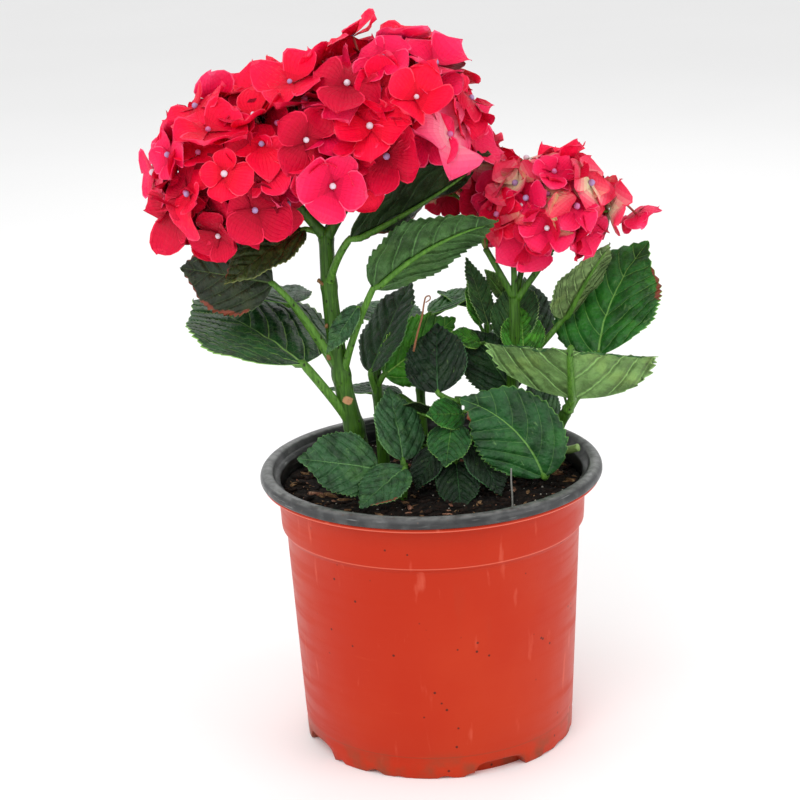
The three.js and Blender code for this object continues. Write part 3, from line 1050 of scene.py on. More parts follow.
@dataclass
class PottingBed:
    """The potting mix: an uneven bed with bark chips and white grit lying on it."""

    top: float = 166.6
    radius: float = 96.3
    bottom: float = 150.0
    unevenness: float = 2.9
    chips: int = 1500
    grit: int = 150
    dark_until: float = 0.72
    tan_until: float = 0.91
    rings: int = 44
    steps: int = 150
    seed: int = 4021

    def build(self) -> None:
        """Builds the bed and what lies on it."""
        mix = Grit("potting_mix", shade("0a0705"), shade("33241b"))
        publish(self.bed(), "potting_mix", [mix.material()], "potting_soil", ["soil"])
        litter = [
            Grit(name, shade(dark), shade(light), scale, depth).material()
            for name, dark, light, scale, depth in (
                ("bark_dark", "120c09", "38241a", 700.0, 0.0005),
                ("bark_tan", "5e432c", "b8946c", 700.0, 0.0005),
                ("bark_pink", "704838", "c8a084", 800.0, 0.0004),
                ("white_grit", "8f8a80", "d9d5ca", 900.0, 0.0003),
            )
        ]
        publish(self.litter(), "bark_chips", litter, "potting_soil")

    def height(self, x: float, y: float) -> float:
        """Gives the height of the bed at a place.

        Args:
            x: To the right, in millimetres.
            y: To the back, in millimetres.

        Returns:
            The height in millimetres.
        """
        broad = noise.noise(Vector((x * 0.035, y * 0.035, 3.0)))
        lumps = noise.noise(Vector((x * 0.22, y * 0.22, 9.0)))
        clods = abs(noise.noise(Vector((x * 0.45, y * 0.45, 21.0))))
        return self.top + self.unevenness * (broad + 0.5 * lumps + 0.7 * clods - 0.15)

    def bed(self) -> bmesh.types.BMesh:
        """Turns the bed and roughens its top.

        Returns:
            The bed.
        """
        profile = [(0.0, self.bottom), (self.radius - 1.5, self.bottom)]
        for ring in range(self.rings + 1):
            profile.append((self.radius * (1 - ring / self.rings), self.top))
        body = turned(profile, self.steps)
        for vert in body.verts:
            if vert.co.z > self.top - 1:
                vert.co.z = self.height(vert.co.x, vert.co.y)
        return body

    def litter(self) -> bmesh.types.BMesh:
        """Scatters chips and grit over the bed by a seeded rule.

        Returns:
            Every chip and grain, joined.
        """
        body = bmesh.new()
        draw = stream(self.seed)
        for index in range(self.chips + self.grit):
            reach = (self.radius - 3) * math.sqrt(draw())
            angle = draw() * math.tau
            x, y = reach * math.cos(angle), reach * math.sin(angle)
            is_grit = index >= self.chips
            size = 0.4 + 0.5 * draw() if is_grit else 0.7 + 3.1 * draw() ** 3
            stretch = (1.0, 0.8, 0.75) if is_grit else (1.9, 0.62, 0.3 + 0.25 * draw())
            made = bmesh.ops.create_icosphere(body, subdivisions=1, radius=size)["verts"]
            jag = 0.0 if is_grit else 0.5
            for vert in made:
                vert.co *= 1 + jag * (draw() - 0.5)
                vert.co.x *= stretch[0]
                vert.co.y *= stretch[1]
                vert.co.z *= stretch[2]
            turn = Quaternion(SKY, draw() * math.tau)
            turn = turn @ Quaternion((1, 0, 0), (draw() - 0.5) * 1.3)
            spot = Matrix.Translation((x, y, self.height(x, y) + size * 0.12))
            bmesh.ops.transform(body, matrix=spot @ turn.to_matrix().to_4x4(), verts=made)
            pick = draw()
            bark = 0 if pick < self.dark_until else 1 if pick < self.tan_until else 2
            finish = 3 if is_grit else bark
            for face in {face for vert in made for face in vert.link_faces}:
                face.material_index = finish
        return body


# ---------------------------------------------------------------- stems


@dataclass
class Stem:
    """A stem from the mix up: a root flare, an even taper, and a swelling at each leaf joint."""

    name: str
    through: Sequence[Point]
    radii: Point
    mass: str = ""
    joints: Sequence[float] = ()
    scars: Sequence[tuple[float, float]] = ()
    flare: float = 0.16
    foot_level: float = 166.0
    curve: Spline = field(init=False)

    def __post_init__(self) -> None:
        """Lays the centreline."""
        self.curve = Spline(self.through)

    def taper(self, share: float) -> float:
        """Gives the radius at a share of the length.

        Args:
            share: From 0 at the foot to 1 at the tip.

        Returns:
            The radius in millimetres.
        """
        foot, shaft, tip = self.radii
        root = max(0.0, 1 - share / self.flare) ** 2
        return shaft + (tip - shaft) * share + (foot - shaft) * root

    def body(self, finish: int = 0, sides: int = 20) -> bmesh.types.BMesh:
        """Builds the stem with its joints and scars.

        Args:
            finish: The material index.
            sides: How many sides the stem has.

        Returns:
            The stem.
        """
        start = self.curve.share_at(self.foot_level)
        steps = 72
        shares = [blend(start, 1.0, i / steps) for i in range(steps + 1)]
        path = [self.curve.even(share) for share in shares]
        rng = stream(len(self.name) * 77 + 5)
        lean = rng() * math.tau

        def radius(part: float, angle: float) -> float:
            """Gives the radius with the joints' swellings and the ribs.

            Args:
                part: The share of the stem that stands above the mix.
                angle: The angle round the stem.

            Returns:
                The radius in millimetres.
            """
            share = blend(start, 1.0, part)
            height = path[round(part * steps)].z
            reach = self.taper(share)
            for joint in self.joints:
                gap = (height - joint) / 3.4
                reach += 0.16 * self.taper(share) * math.exp(-gap * gap)
                groove = (height - joint - 1.0) / 0.9
                reach -= 0.3 * math.exp(-groove * groove)
            ribs = 0.018 * math.cos(3 * angle + lean)
            ribs += 0.012 * math.cos(7 * angle + height * 0.03)
            return reach * (1 + ribs)

        made = tube(path, radius, sides, finish)
        skin = made.verts.layers.float_vector["skin"]
        for vert in made.verts:
            for height, heading in self.scars:
                share = self.curve.share_at(height)
                centre = self.curve.even(share)
                spot = centre + direction(heading, 0) * self.taper(share)
                gap = vert.co - spot
                near = 1 - math.hypot(gap.x / 5.2, gap.y / 5.2, gap.z / 3.6)
                vert[skin].z = max(vert[skin].z, ease(near, 0.0, 0.6))
        return made


@dataclass
class Ray:
    """A stalk from a stem's fork up into a flower head."""

    name: str
    start: Point
    heading: float
    rise: float
    length: float
    radii: tuple[float, float]

    @property
    def tip(self) -> Vector:
        """The end inside the flower head."""
        return Vector(self.start) + direction(self.heading, self.rise) * self.length

    def body(self) -> bmesh.types.BMesh:
        """Builds the stalk, swollen at its foot and a little bowed.

        Returns:
            The stalk.
        """
        foot, tip = Vector(self.start), self.tip
        bow = SKY.cross(tip - foot).normalized() * 0.012 * self.length
        steps = 16
        path = [
            foot.lerp(tip, i / steps) + bow * math.sin(math.pi * i / steps)
            for i in range(steps + 1)
        ]
        thick, thin = self.radii

        def radius(share: float, angle: float) -> float:
            """Gives the radius with its ribs."""
            swell = 1 + 0.22 * math.exp(-((share / 0.12) ** 2)) + 0.1 * ease(share, 0.9, 1.0)
            return blend(thick, thin, share) * swell * (1 + 0.03 * math.cos(4 * angle))

        return tube(path, radius, 12)


# ---------------------------------------------------------------- leaves


@dataclass(frozen=True)
class Frame:
    """A place on a leaf's midrib with the ways along, up and across there."""

    place: Vector
    along: Vector
    up: Vector
    across: Vector


@dataclass
class Leaf:
    """One leaf: a grooved petiole and a toothed, quilted blade.

    on is the stem and height that it springs from, or a point. petiole is heading, rise and
    length, and blade is heading, pitch, length and width. roll turns the upper side about the
    midrib, bend droops the tip, cup folds the halves up, sweep curves the midrib sideways, and
    crease folds the blade over at a row. scorch is the side, and the shares between which the
    margin is browned. clear_front is how far in front of the blade no floret may stand.
    """

    on: tuple[str, float] | Point
    petiole: Point
    blade: tuple[float, float, float, float]
    roll: float
    bend: float
    cup: float
    sweep: float = 0.0
    crease: tuple[int, float] = (-1, 0.0)
    tint: Tint = Tint.DEEP
    crinkle: float = 0.014
    scorch: Sequence[Point] = ()
    wave: float = 0.016
    seed: int = 1
    clear_front: float = 0.0

    ROWS = 5
    PEAK = (0.55, 0.8)
    THICKNESS = 0.55
    PETIOLE = 0.28
    TEETH = 18
    COLUMNS = 28
    QUILT = 0.017
    TROUGH = 0.007
    CLEAR_STEP = 12

    def ribs(self, start: Vector) -> list[Frame]:
        """Lays the midrib.

        Args:
            start: Where the petiole ends.

        Returns:
            A frame at each row.
        """
        heading, pitch, length, _ = self.blade
        along = direction(heading, pitch)
        up = (SKY - along * along.z).normalized()
        up.rotate(Quaternion(along, math.radians(self.roll)))
        across = along.cross(up)
        place = start.copy()
        frames = []
        for row in range(self.ROWS + 1):
            fold = self.crease[1] / 2 if row == self.crease[0] else 0.0
            half = Quaternion(across, math.radians(-fold))
            along, up = half @ along, half @ up
            frames.append(Frame(place.copy(), along, up, across))
            droop = Quaternion(across, math.radians(-fold - self.bend / self.ROWS))
            along, up = droop @ along, droop @ up
            turn = Quaternion(up, math.radians(self.sweep / self.ROWS))
            along, across = turn @ along, turn @ across
            place += along * length / self.ROWS
        return frames

    def foot(self, stems: dict[str, Stem]) -> Vector:
        """Gives the point that the leaf springs from.

        Args:
            stems: The stems by name.

        Returns:
            The point.
        """
        if isinstance(self.on[0], str):
            curve = stems[self.on[0]].curve
            return curve.even(curve.share_at(self.on[1]))
        return Vector(self.on)

    def stalk(self, foot: Vector) -> list[Vector]:
        """Lays the petiole's centreline, from the stem's middle to the blade.

        Args:
            foot: Where it starts.

        Returns:
            The points along it.
        """
        out = direction(self.petiole[0], self.petiole[1])
        on = direction(self.blade[0], self.blade[1])
        length = self.petiole[2]
        bend = foot + out * length * 0.6
        head = foot + out * length * 0.85 + on * length * 0.15
        steps = 12
        return [
            foot * (1 - t) ** 2 + bend * 2 * t * (1 - t) + head * t * t
            for t in (i / steps for i in range(steps + 1))
        ]

    def outline(self, share: float) -> float:
        """Gives the half width at a share of the length, against the widest.

        Args:
            share: From 0 at the petiole to 1 at the tip.

        Returns:
            The half width, as a share of the widest.
        """
        low, high = self.PEAK
        widest = low / (low + high)
        full = widest**low * (1 - widest) ** high
        least = 0.06 if share < 0.5 else 0.0
        drawn = 1 - 0.42 * ease(share, 0.7, 0.97)
        return max(least, share**low * (1 - share) ** high / full * drawn)

    def rib_at(self, frames: list[Frame], share: float) -> Frame:
        """Gives a smooth frame between two rows.

        Args:
            frames: The frames at the rows.
            share: The share of the blade's length.

        Returns:
            The frame there.
        """
        row = min(int(share * self.ROWS), self.ROWS - 1)
        rest = share * self.ROWS - row
        b, c = frames[row], frames[row + 1]
        a = frames[row - 1].place if row else b.place * 2 - c.place
        d = frames[row + 2].place if row + 2 <= self.ROWS else c.place * 2 - b.place
        out, end = (c.place - a) / 2, (d - b.place) / 2
        place = (
            b.place
            + out * rest
            + ((c.place - b.place) * 3 - out * 2 - end) * rest**2
            + ((b.place - c.place) * 2 + out + end) * rest**3
        )
        return Frame(
            place,
            b.along.lerp(c.along, rest),
            b.up.lerp(c.up, rest).normalized(),
            b.across.lerp(c.across, rest).normalized(),
        )

    def samples(self, stems: dict[str, Stem]) -> list[Vector]:
        """Gives a few points on the blade, to keep other things clear of it.

        Args:
            stems: The stems by name.

        Returns:
            The points.
        """
        frames = self.ribs(self.stalk(self.foot(stems))[-1])
        width = self.blade[3]
        points = []
        for row in range(1, 10):
            rib = self.rib_at(frames, row / 10)
            half = width / 2 * self.outline(row / 10)
            reach = (-1.5, 1.5) if self.clear_front and row > 3 else ()
            spots = (-0.9, -0.45, 0.0, 0.45, 0.9, *reach)
            across = [rib.place + rib.across * half * x for x in spots]
            for step in range(round(self.clear_front / self.CLEAR_STEP) + 1):
                points += [point - Vector((0, self.CLEAR_STEP * step, 0)) for point in across]
        return points

    def body(self, stems: dict[str, Stem], finish: int, stalk_finish: int) -> bmesh.types.BMesh:
        """Builds the blade and its petiole.

        Args:
            stems: The stems by name.
            finish: The material index of the upper side, with the underside and the edge after it.
            stalk_finish: The material index of the petiole.

        Returns:
            The whole leaf.
        """
        path = self.stalk(self.foot(stems))
        frames = self.ribs(path[-1])
        body = self.sheet(frames, finish)
        radius = self.PETIOLE * math.sqrt(self.blade[3])
        under = []
        steps = 18
        for i in range(1, steps + 1):
            share = 0.9 * i / steps
            rib = self.rib_at(frames, share)
            sunk = radius * 0.95 * (1 - share) ** 0.8 + 0.5 + 0.3 * ease(share, 0, 0.2)
            under.append(rib.place - rib.up * sunk)
        stalk_share = len(path) / (len(path) + len(under))

        def reach(share: float, angle: float) -> float:
            """Gives the radius, flared at the stem and drawn out under the blade.

            Args:
                share: The share of the petiole and midrib.
                angle: The angle round it.

            Returns:
                The radius in millimetres.
            """
            if share < stalk_share:
                part = share / stalk_share
                flare = 0.35 * math.exp(-((part / 0.16) ** 2))
                return radius * (1.12 - 0.12 * part + flare)
            part = (share - stalk_share) / (1 - stalk_share)
            return radius * (0.86 * (1 - part) ** 0.8 + 0.1)

        absorb(body, tube([*path, *under], reach, 10, stalk_finish))
        return body

    def sheet(self, frames: list[Frame], finish: int) -> bmesh.types.BMesh:
        """Shapes the blade from a flat grid: outline, teeth, quilting and thickness.

        Args:
            frames: The midrib's frames.
            finish: The material index of the upper side.

        Returns:
            The closed blade.
        """
        _, _, length, width = self.blade
        body = bmesh.new()
        blade = body.verts.layers.float_vector.new("blade")
        mark = body.verts.layers.float_vector.new("mark")
        lift = body.verts.layers.float_vector.new("lift")
        rows = self.TEETH * 3
        bmesh.ops.create_grid(body, x_segments=self.COLUMNS, y_segments=rows, size=1)
        draw = stream(self.seed * 7919 + 13)
        bites = [[0.45 + 0.75 * draw() for _ in range(self.TEETH + 1)] for _ in range(2)]
        tone, swing = draw(), draw() * math.tau
        cup = math.radians(self.cup)
        for vert in body.verts:
            x, share = vert.co.x, (vert.co.y + 1) / 2
            row = round(share * rows)
            rim = abs(x)
            side = 1 if x > 0 else 0
            tooth = (0.0, 0.6, 1.0)[row % 3] * bites[side][row // 3]
            sharp = ease(rim, 0.84, 1.0) * ease(share, 0.0, 0.14) * ease(1 - share, 0.0, 0.05)
            rib = self.rib_at(frames, min(1.0, share + 0.3 * sharp * tooth / rows))
            half = width / 2 * self.outline(share)
            out = x * half + (1 if x > 0 else -1) * sharp * (tooth - 0.35) * 0.027 * length
            ripple = (
                self.wave * length * rim**2
                * math.sin(share * 15 + swing + (1.7 if x > 0 else 0.0))
                * ease(share, 0.05, 0.3)
            )
            vert.co = (
                rib.place
                + rib.across * out * math.cos(cup)
                + rib.up * (abs(out) * math.sin(cup) + ripple)
            )
            vert[blade] = Vector((out / length, share, rim))
            burn = 0.0
            for scorch_side, low, high in self.scorch:
                if scorch_side * x > 0:
                    inside = ease(share, low, low + 0.06) * ease(share, high, high - 0.06)
                    ragged = 0.86 + 0.08 * noise.noise(Vector((share * 9, scorch_side, tone)))
                    burn = max(burn, inside * ease(rim, ragged, ragged + 0.1))
            vert[mark] = Vector((burn, tone, 0))
        bmesh.ops.remove_doubles(body, verts=body.verts, dist=1e-4)
        body.normal_update()
        moves = [vert.normal * self.relief(vert[blade], length) for vert in body.verts]
        for vert, move in zip(body.verts, moves):
            vert.co += move
        body.normal_update()
        for vert in body.verts:
            vert[lift] = vert.normal * self.THICKNESS / 2
        under = list(body.faces)
        made = bmesh.ops.extrude_face_region(
            body, geom=[*body.verts, *body.edges, *under], use_keep_orig=True
        )["geom"]
        top = {item for item in made if isinstance(item, bmesh.types.BMFace)}
        raised = {item for item in made if isinstance(item, bmesh.types.BMVert)}
        for vert in body.verts:
            vert.co += vert[lift] * (1 if vert in raised else -1)
        bmesh.ops.reverse_faces(body, faces=under)
        below = set(under)
        for face in body.faces:
            side = 0 if face in top else 1 if face in below else 2
            face.material_index = finish + side
        layers = body.verts.layers.float_vector
        layers.remove(layers["lift"])
        return body

    def relief(self, spot: Vector, length: float) -> float:
        """Gives how far the blade stands up between its veins.

        Args:
            spot: Side, share and closeness to the rim.
            length: The blade's length.

        Returns:
            The height in millimetres.
        """
        side, share, rim = spot
        out = abs(side)
        phase = (share - VEIN_SLOPE * out - VEIN_ARCH * out * out) * SIDE_VEINS
        vein = abs((phase % 1.0) - 0.5) * 2
        inner = ease(out, 0.0, 0.05)
        fade = (1 - rim**5) * ease(share, 0.0, 0.1) * ease(1 - share, 0.0, 0.15)
        puff = (1 - vein**2.5) * self.QUILT * length * fade * inner
        trough = -self.TROUGH * length * (1 - inner) * (1 - share)
        crumple = self.crinkle * length * fade * noise.noise(
            Vector((side * 9, share * 9, self.seed))
        )
        return puff + trough + crumple


@dataclass
class Foliage:
    """The leaves that one node holds, with the stem of their shoot if they have one."""

    node: str
    leaves: Sequence[Leaf]

    def build(self, stems: dict[str, Stem], paints: "Paints") -> None:
        """Builds the node's leaves and shoot as one piece.

        Args:
            stems: The stems by name.
            paints: The shared finishes.
        """
        body = bmesh.new()
        tints = list(dict.fromkeys(leaf.tint for leaf in self.leaves))
        finishes = [paints.petiole, paints.stem]
        for tint in tints:
            finishes += paints.leaf(tint)
        for leaf in self.leaves:
            absorb(body, leaf.body(stems, 2 + 3 * tints.index(leaf.tint), 0))
        for stem in stems.values():
            if stem.mass == self.node:
                absorb(body, stem.body(1, 14))
        publish(body, f"{self.node}_grown", finishes, "leaf_green", [self.node])


class Paints:
    """The finishes that many pieces share, each made once."""

    def __init__(self) -> None:
        """Makes the finishes of stems and stalks."""
        self.stem = StemSkin("stem_green", shade("44701e"), shade("2a4c12")).material()
        self.petiole = StemSkin("petiole_green", shade("5f8f34"), shade("416c22")).material()
        self.leaves: dict[Tint, list[bpy.types.Material]] = {}
        self.sepals: dict[Blossom, list[bpy.types.Material]] = {}

    def leaf(self, tint: Tint) -> list[bpy.types.Material]:
        """Gives the upper side, underside and edge of a leaf colour.

        Args:
            tint: The leaf colour.

        Returns:
            The three finishes.
        """
        if tint not in self.leaves:
            edge = PlainSkin(f"leaf_{tint.name.lower()}_edge", tint.value[1], 0.6)
            self.leaves[tint] = [
                LeafSkin(tint, True).material(),
                LeafSkin(tint, False).material(),
                edge.material(),
            ]
        return self.leaves[tint]

    def sepal(self, kind: "Blossom") -> list[bpy.types.Material]:
        """Gives the finishes of a floret colour, from the claw's to the edge's.

        Args:
            kind: The floret colour.

        Returns:
            One finish for each zone.
        """
        if kind not in self.sepals:
            codes = kind.strips(FlowerHead.ZONES - 1)
            made = {
                code: PetalSkin(f"sepal_{kind.name.lower()}_{code}", code).material()
                for code in dict.fromkeys(codes)
            }
            self.sepals[kind] = [made[code] for code in codes]
        return self.sepals[kind]


# ---------------------------------------------------------------- blossom


class Blossom(Enum):
    """Floret colours: keys from the claw to the tip, and the edge's. In the red kinds the darker
    claw is partly the sepal's own deeper base and partly painted shade at the floret's middle, and
    the lighter edge is partly its own paler margin and partly a painted highlight.
    """

    CRIMSON = (("cc0426", "e40532", "f0083a", "f61044", "f82052"), "fa3c62")
    SCARLET = (("d00424", "ea0630", "f40838", "f81240", "fa244c"), "fc425c")
    ROSE = (("c60639", "e20a46", "f01651", "f42a5e", "f63a6b"), "f8527c")
    WINE = (("a00322", "bc042c", "d00634", "dc0e3e"), "e42248")
    SHADOW = (("5e0312", "780418", "8c0620"), "98102c")
    BLUSH = (("ee9ca4", "ee7890", "ee587e", "ee4472", "ee3a68"), "f2507a")
    CREAM = (("ece2b4", "eebca0", "ec7c84", "ea4664", "ea2e52", "ea284e"), "f03e5e")
    SALMON = (("e8c09a", "ea8478", "e85062", "e83450", "e82848"), "ee3a54")
    GREEN = (("b4c070", "c0c47c", "ccb880", "dc9274", "e26066", "e64058"), "e83856")

    def strips(self, count: int) -> list[str]:
        """Fades the keys evenly over a number of strips, with the edge's colour last.

        Args:
            count: How many strips, without the edge.

        Returns:
            The colours' codes.
        """
        keys, edge = self.value
        if len(keys) == 3:
            return [keys[min(2, i)] for i in range(count)] + [edge]
        made = []
        for i in range(count):
            spot = i * (len(keys) - 1) / (count - 1)
            low = min(int(spot), len(keys) - 2)
            pairs = (
                (int(keys[low][c : c + 2], 16), int(keys[low + 1][c : c + 2], 16))
                for c in (0, 2, 4)
            )
            made.append("".join(f"{round(blend(a, b, spot - low)):02x}" for a, b in pairs))
        return made + [edge]


@dataclass(frozen=True)
class Floret:
    """One floret's place: its middle, facing, reach, spin, root, and colour."""

    place: Vector
    facing: Vector
    radius: float
    spin: float
    root: Vector
    blossom: Blossom = Blossom.CRIMSON


@dataclass(frozen=True)
class Lobe:
    """A rounded part of a head: florets stand evenly round it."""

    centre: Point
    radii: Point
    core: float
    florets: int
    lowest: float


@dataclass
class FlowerHead:
    """A mophead: florets of four sepals on branching stalks, over an inner layer of darker ones."""

    COLUMNS = (-1.0, -0.93, -0.45, 0.0, 0.45, 0.93, 1.0)
    ROWS = (0.0, 0.14, 0.3, 0.46, 0.6, 0.74, 0.87, 0.95, 1.0)
    WIDTHS = (0.12, 0.36, 0.7, 0.93, 1.0, 0.88, 0.58, 0.28, 0.0)
    ZONES = len(ROWS)
    INNER_COUNT = 1.4
    INNER_DEPTH = 0.85
    INNER_SIZE = 0.92
    BURIED = 0.86
    CLEAR = 0.62
    FIVE_SEPALS = 0.1
    RED_STALKS = 0.35

    name: str
    seed: int
    floret: tuple[float, float]
    lobes: Sequence[Lobe]
    colours: Sequence[tuple[float, Blossom]]
    inner_colours: Sequence[tuple[float, Blossom]]
    stray: tuple[Point, Point, float] | None = None
    stalks: Sequence[str] = ()
    ruffle: float = 1.0
    rosy_below: float = -1.0

    def places(self, inner: bool = False) -> list[Floret]:
        """Places the florets evenly round each lobe, and none inside another lobe.

        Args:
            inner: True for the smaller layer beneath.

        Returns:
            The florets.
        """
        draw = stream(self.seed + (5 if inner else 0))
        paint = stream(self.seed * 31 + (7 if inner else 3))
        found = []
        if self.stray and not inner:
            place, facing, radius = self.stray
            found.append(
                Floret(
                    Vector(place),
                    Vector(facing).normalized(),
                    radius,
                    0.0,
                    Vector(self.lobes[0].centre),
                    Blossom.ROSE,
                )
            )
        for index, lobe in enumerate(self.lobes):
            middle = Vector(lobe.centre)
            count = round(lobe.florets * (self.INNER_COUNT if inner else 1))
            depth = self.INNER_DEPTH if inner else 1.0
            for i in range(count):
                slope = 1 - 2 * (i + 0.5) / count
                turn = i * GOLDEN_ANGLE + index + (1.9 if inner else 0)
                stand, size, lean, spin = (draw() for _ in range(4))
                if slope < lobe.lowest:
                    continue
                level = math.sqrt(1 - slope * slope)
                way = Vector((level * math.cos(turn), level * math.sin(turn), slope))
                reach = Vector(a * b for a, b in zip(way, lobe.radii))
                place = middle + reach * (0.85 + 0.13 * stand) * depth
                if self.buried(place, index, self.BURIED * depth):
                    continue
                facing = reach.normalized()
                facing.z += 0.35 * lean + 0.25
                facing += Vector((paint() - 0.5, paint() - 0.5, paint() - 0.5)) * 1.05
                radius = blend(*self.floret, size) * (self.INNER_SIZE if inner else 1)
                blossom = self.pick(paint(), inner)
                if slope < self.rosy_below:
                    blossom = Blossom.WINE if inner else Blossom.ROSE
                found.append(
                    Floret(
                        place,
                        facing.normalized(),
                        radius,
                        spin * math.pi,
                        middle + reach * lobe.core * 0.9,
                        blossom,
                    )
                )
        return found

    def buried(self, place: Vector, index: int, limit: float) -> bool:
        """Tells whether a place lies inside a lobe other than its own.

        Args:
            place: The place.
            index: Which lobe is its own.
            limit: How near a lobe's middle counts as inside, as a share of its radii.

        Returns:
            True if it does.
        """
        return any(
            Vector(
                (p - c) / r for p, c, r in zip(place, lobe.centre, lobe.radii)
            ).length < limit
            for j, lobe in enumerate(self.lobes)
            if j != index
        )

    def pick(self, value: float, inner: bool) -> Blossom:
        """Deals a colour out to a floret.

        Args:
            value: A number from 0 to 1.
            inner: True for the layer beneath.

        Returns:
            The colour.
        """
        for limit, colour in self.inner_colours if inner else self.colours:
            if value < limit:
                return colour
        return self.colours[-1][1]

    def build(self, rays: dict[str, Ray], keep_clear: Sequence[Vector], paints: Paints) -> None:
        """Builds the head's sepals, beads and stalks.

        Args:
            rays: The stalks that carry the head, by name.
            keep_clear: Points on leaves that no floret may touch.
            paints: The shared finishes.
        """
        florets = [
            floret
            for floret in [*self.places(), *self.places(inner=True)]
            if all(
                (point - floret.place).length > floret.radius * self.CLEAR for point in keep_clear
            )
        ]
        kinds = sorted({floret.blossom for floret in florets}, key=lambda kind: kind.name)
        sepals, beads, stalks = bmesh.new(), bmesh.new(), bmesh.new()
        draw = stream(self.seed * 131 + 1)
        for floret in florets:
            self.add_sepals(sepals, floret, self.ZONES * kinds.index(floret.blossom), draw)
            self.add_bead(beads, floret, draw)
            self.add_stalk(stalks, floret, rays, draw)
        finishes = [finish for kind in kinds for finish in paints.sepal(kind)]
        publish(sepals, f"{self.name}_sepals", finishes, "sepal_red", [self.name])
        shades = [
            PlainSkin(name, code, 0.4).material()
            for name, code in (
                ("bead_lilac", "a98ab8"),
                ("bead_pale", "d8c8d4"),
                ("bead_pink", "c4689a"),
            )
        ]
        publish(beads, f"{self.name}_beads", shades, "sepal_red")
        skins = [paints.petiole, PlainSkin("stalk_red", "a8554a").material()]
        publish(stalks, f"{self.name}_stalks", skins, "stem_green")

    def add_sepals(
        self, body: bmesh.types.BMesh, floret: Floret, finish: int, draw: Callable[[], float]
    ) -> None:
        """Adds a floret's four overlapping sepals, or sometimes five.

        Args:
            body: What they are added to.
            floret: The floret.
            finish: The material index of its claw, with its other zones after it.
            draw: The stream of numbers.
        """
        turn = Vector((0, 1, 0)).rotation_difference(floret.facing)
        layers = body.verts.layers.float_vector
        petal = layers.get("petal") or layers.new("petal")
        count = 5 if draw() < self.FIVE_SEPALS else 4
        open_up = -0.22 + 0.6 * draw()
        for index in range(count):
            angle = floret.spin + index * math.tau / count + 0.35 * (draw() - 0.5)
            along = Vector((math.cos(angle), 0, math.sin(angle)))
            across = Vector((-math.sin(angle), 0, math.cos(angle)))
            length = floret.radius * (1.0 + 0.34 * draw())
            half = length * (0.5 + 0.14 * draw())
            rise = open_up + 0.42 * self.ruffle * (draw() - 0.5)
            curl = (draw() - 0.45) * 0.75 * self.ruffle
            twist, phase = 0.8 * (draw() - 0.5), draw() * math.tau
            trough, over = 0.9 * (draw() - 0.4), 1.1 if index % 2 else 0.0
            frill = (0.035 + 0.05 * draw()) * self.ruffle
            skew, blunt = 0.24 * (draw() - 0.5), 0.75 + 0.5 * draw()
            fold = 0.22 * (draw() - 0.25)
            grid = bmesh.ops.create_grid(
                body, x_segments=len(self.COLUMNS) - 1, y_segments=len(self.ROWS) - 1, size=1
            )["verts"]
            rows = {}
            for vert in grid:
                x = self.COLUMNS[round((vert.co.x + 1) / 2 * (len(self.COLUMNS) - 1))]
                row = round((vert.co.y + 1) / 2 * (len(self.ROWS) - 1))
                rows[vert] = row
                t, wide = self.ROWS[row], self.WIDTHS[row] ** blunt
                side = (x + skew * t * (1 - x * x)) * half * wide
                high = (
                    over + 0.8
                    + length * (rise * t * t + curl * 0.42 * t**3)
                    + length * trough * (x * wide) ** 2 * 0.4
                    + side * twist * t
                    + length * fold * abs(x * wide) * ease(t, 0.0, 0.3)
                    + length * frill * math.sin(t * 7 + phase + x * 2.8) * t * (0.4 + x * x)
                )
                vert[petal] = Vector((x, t, twist))
                vert.co = floret.place + turn @ (
                    along * length * t * (1 - 0.16 * abs(rise))
                    + across * side
                    + Vector((0, high, 0))
                )
            # Margin faces take the edge colour: partly the sepal's paler margin, partly a painted
            # highlight.
            for face in {face for vert in grid for face in vert.link_faces}:
                strip = min(rows[vert] for vert in face.verts)
                rim = any(edge.is_boundary for edge in face.edges) and strip > 1
                face.material_index = finish + (self.ZONES - 1 if rim else strip)
            bmesh.ops.remove_doubles(body, verts=grid, dist=1e-3)

    def add_bead(self, body: bmesh.types.BMesh, floret: Floret, draw: Callable[[], float]) -> None:
        """Adds the small closed bud in a floret's middle.

        Args:
            body: What it is added to.
            floret: The floret.
            draw: The stream of numbers.
        """
        size = 1.7 + 0.6 * draw()
        made = bmesh.ops.create_uvsphere(body, u_segments=8, v_segments=6, radius=size)["verts"]
        turn = SKY.rotation_difference(floret.facing).to_matrix().to_4x4()
        spot = floret.place + floret.facing * (size * 0.8 + 1.2)
        for vert in made:
            vert.co.z *= 1.05 if vert.co.z > 0 else 0.8
        bmesh.ops.transform(body, matrix=Matrix.Translation(spot) @ turn, verts=made)
        finish = min(2, int(draw() * 3))
        for face in {face for vert in made for face in vert.link_faces}:
            face.material_index = finish

    def add_stalk(
        self,
        body: bmesh.types.BMesh,
        floret: Floret,
        rays: dict[str, Ray],
        draw: Callable[[], float],
    ) -> None:
        """Adds the thin stalk from the nearest ray's tip to a floret's back.

        Args:
            body: What it is added to.
            floret: The floret.
            rays: The stalks that carry the head, by name.
            draw: The stream of numbers.
        """
        tips = [rays[name].tip for name in self.stalks]
        start = min(tips, key=lambda tip: (tip - floret.root).length)
        end = floret.place + floret.facing * 0.6
        bend = end - floret.facing * (end - start).length * (0.35 + 0.15 * draw())
        steps = 6
        path = [
            start * (1 - t) ** 2 + bend * 2 * t * (1 - t) + end * t * t
            for t in (i / steps for i in range(steps + 1))
        ]
        red = 1 if draw() < self.RED_STALKS else 0
        absorb(body, tube(path, lambda share, angle: 1.15 - 0.35 * share, 5, red))


# ---------------------------------------------------------------- the plant

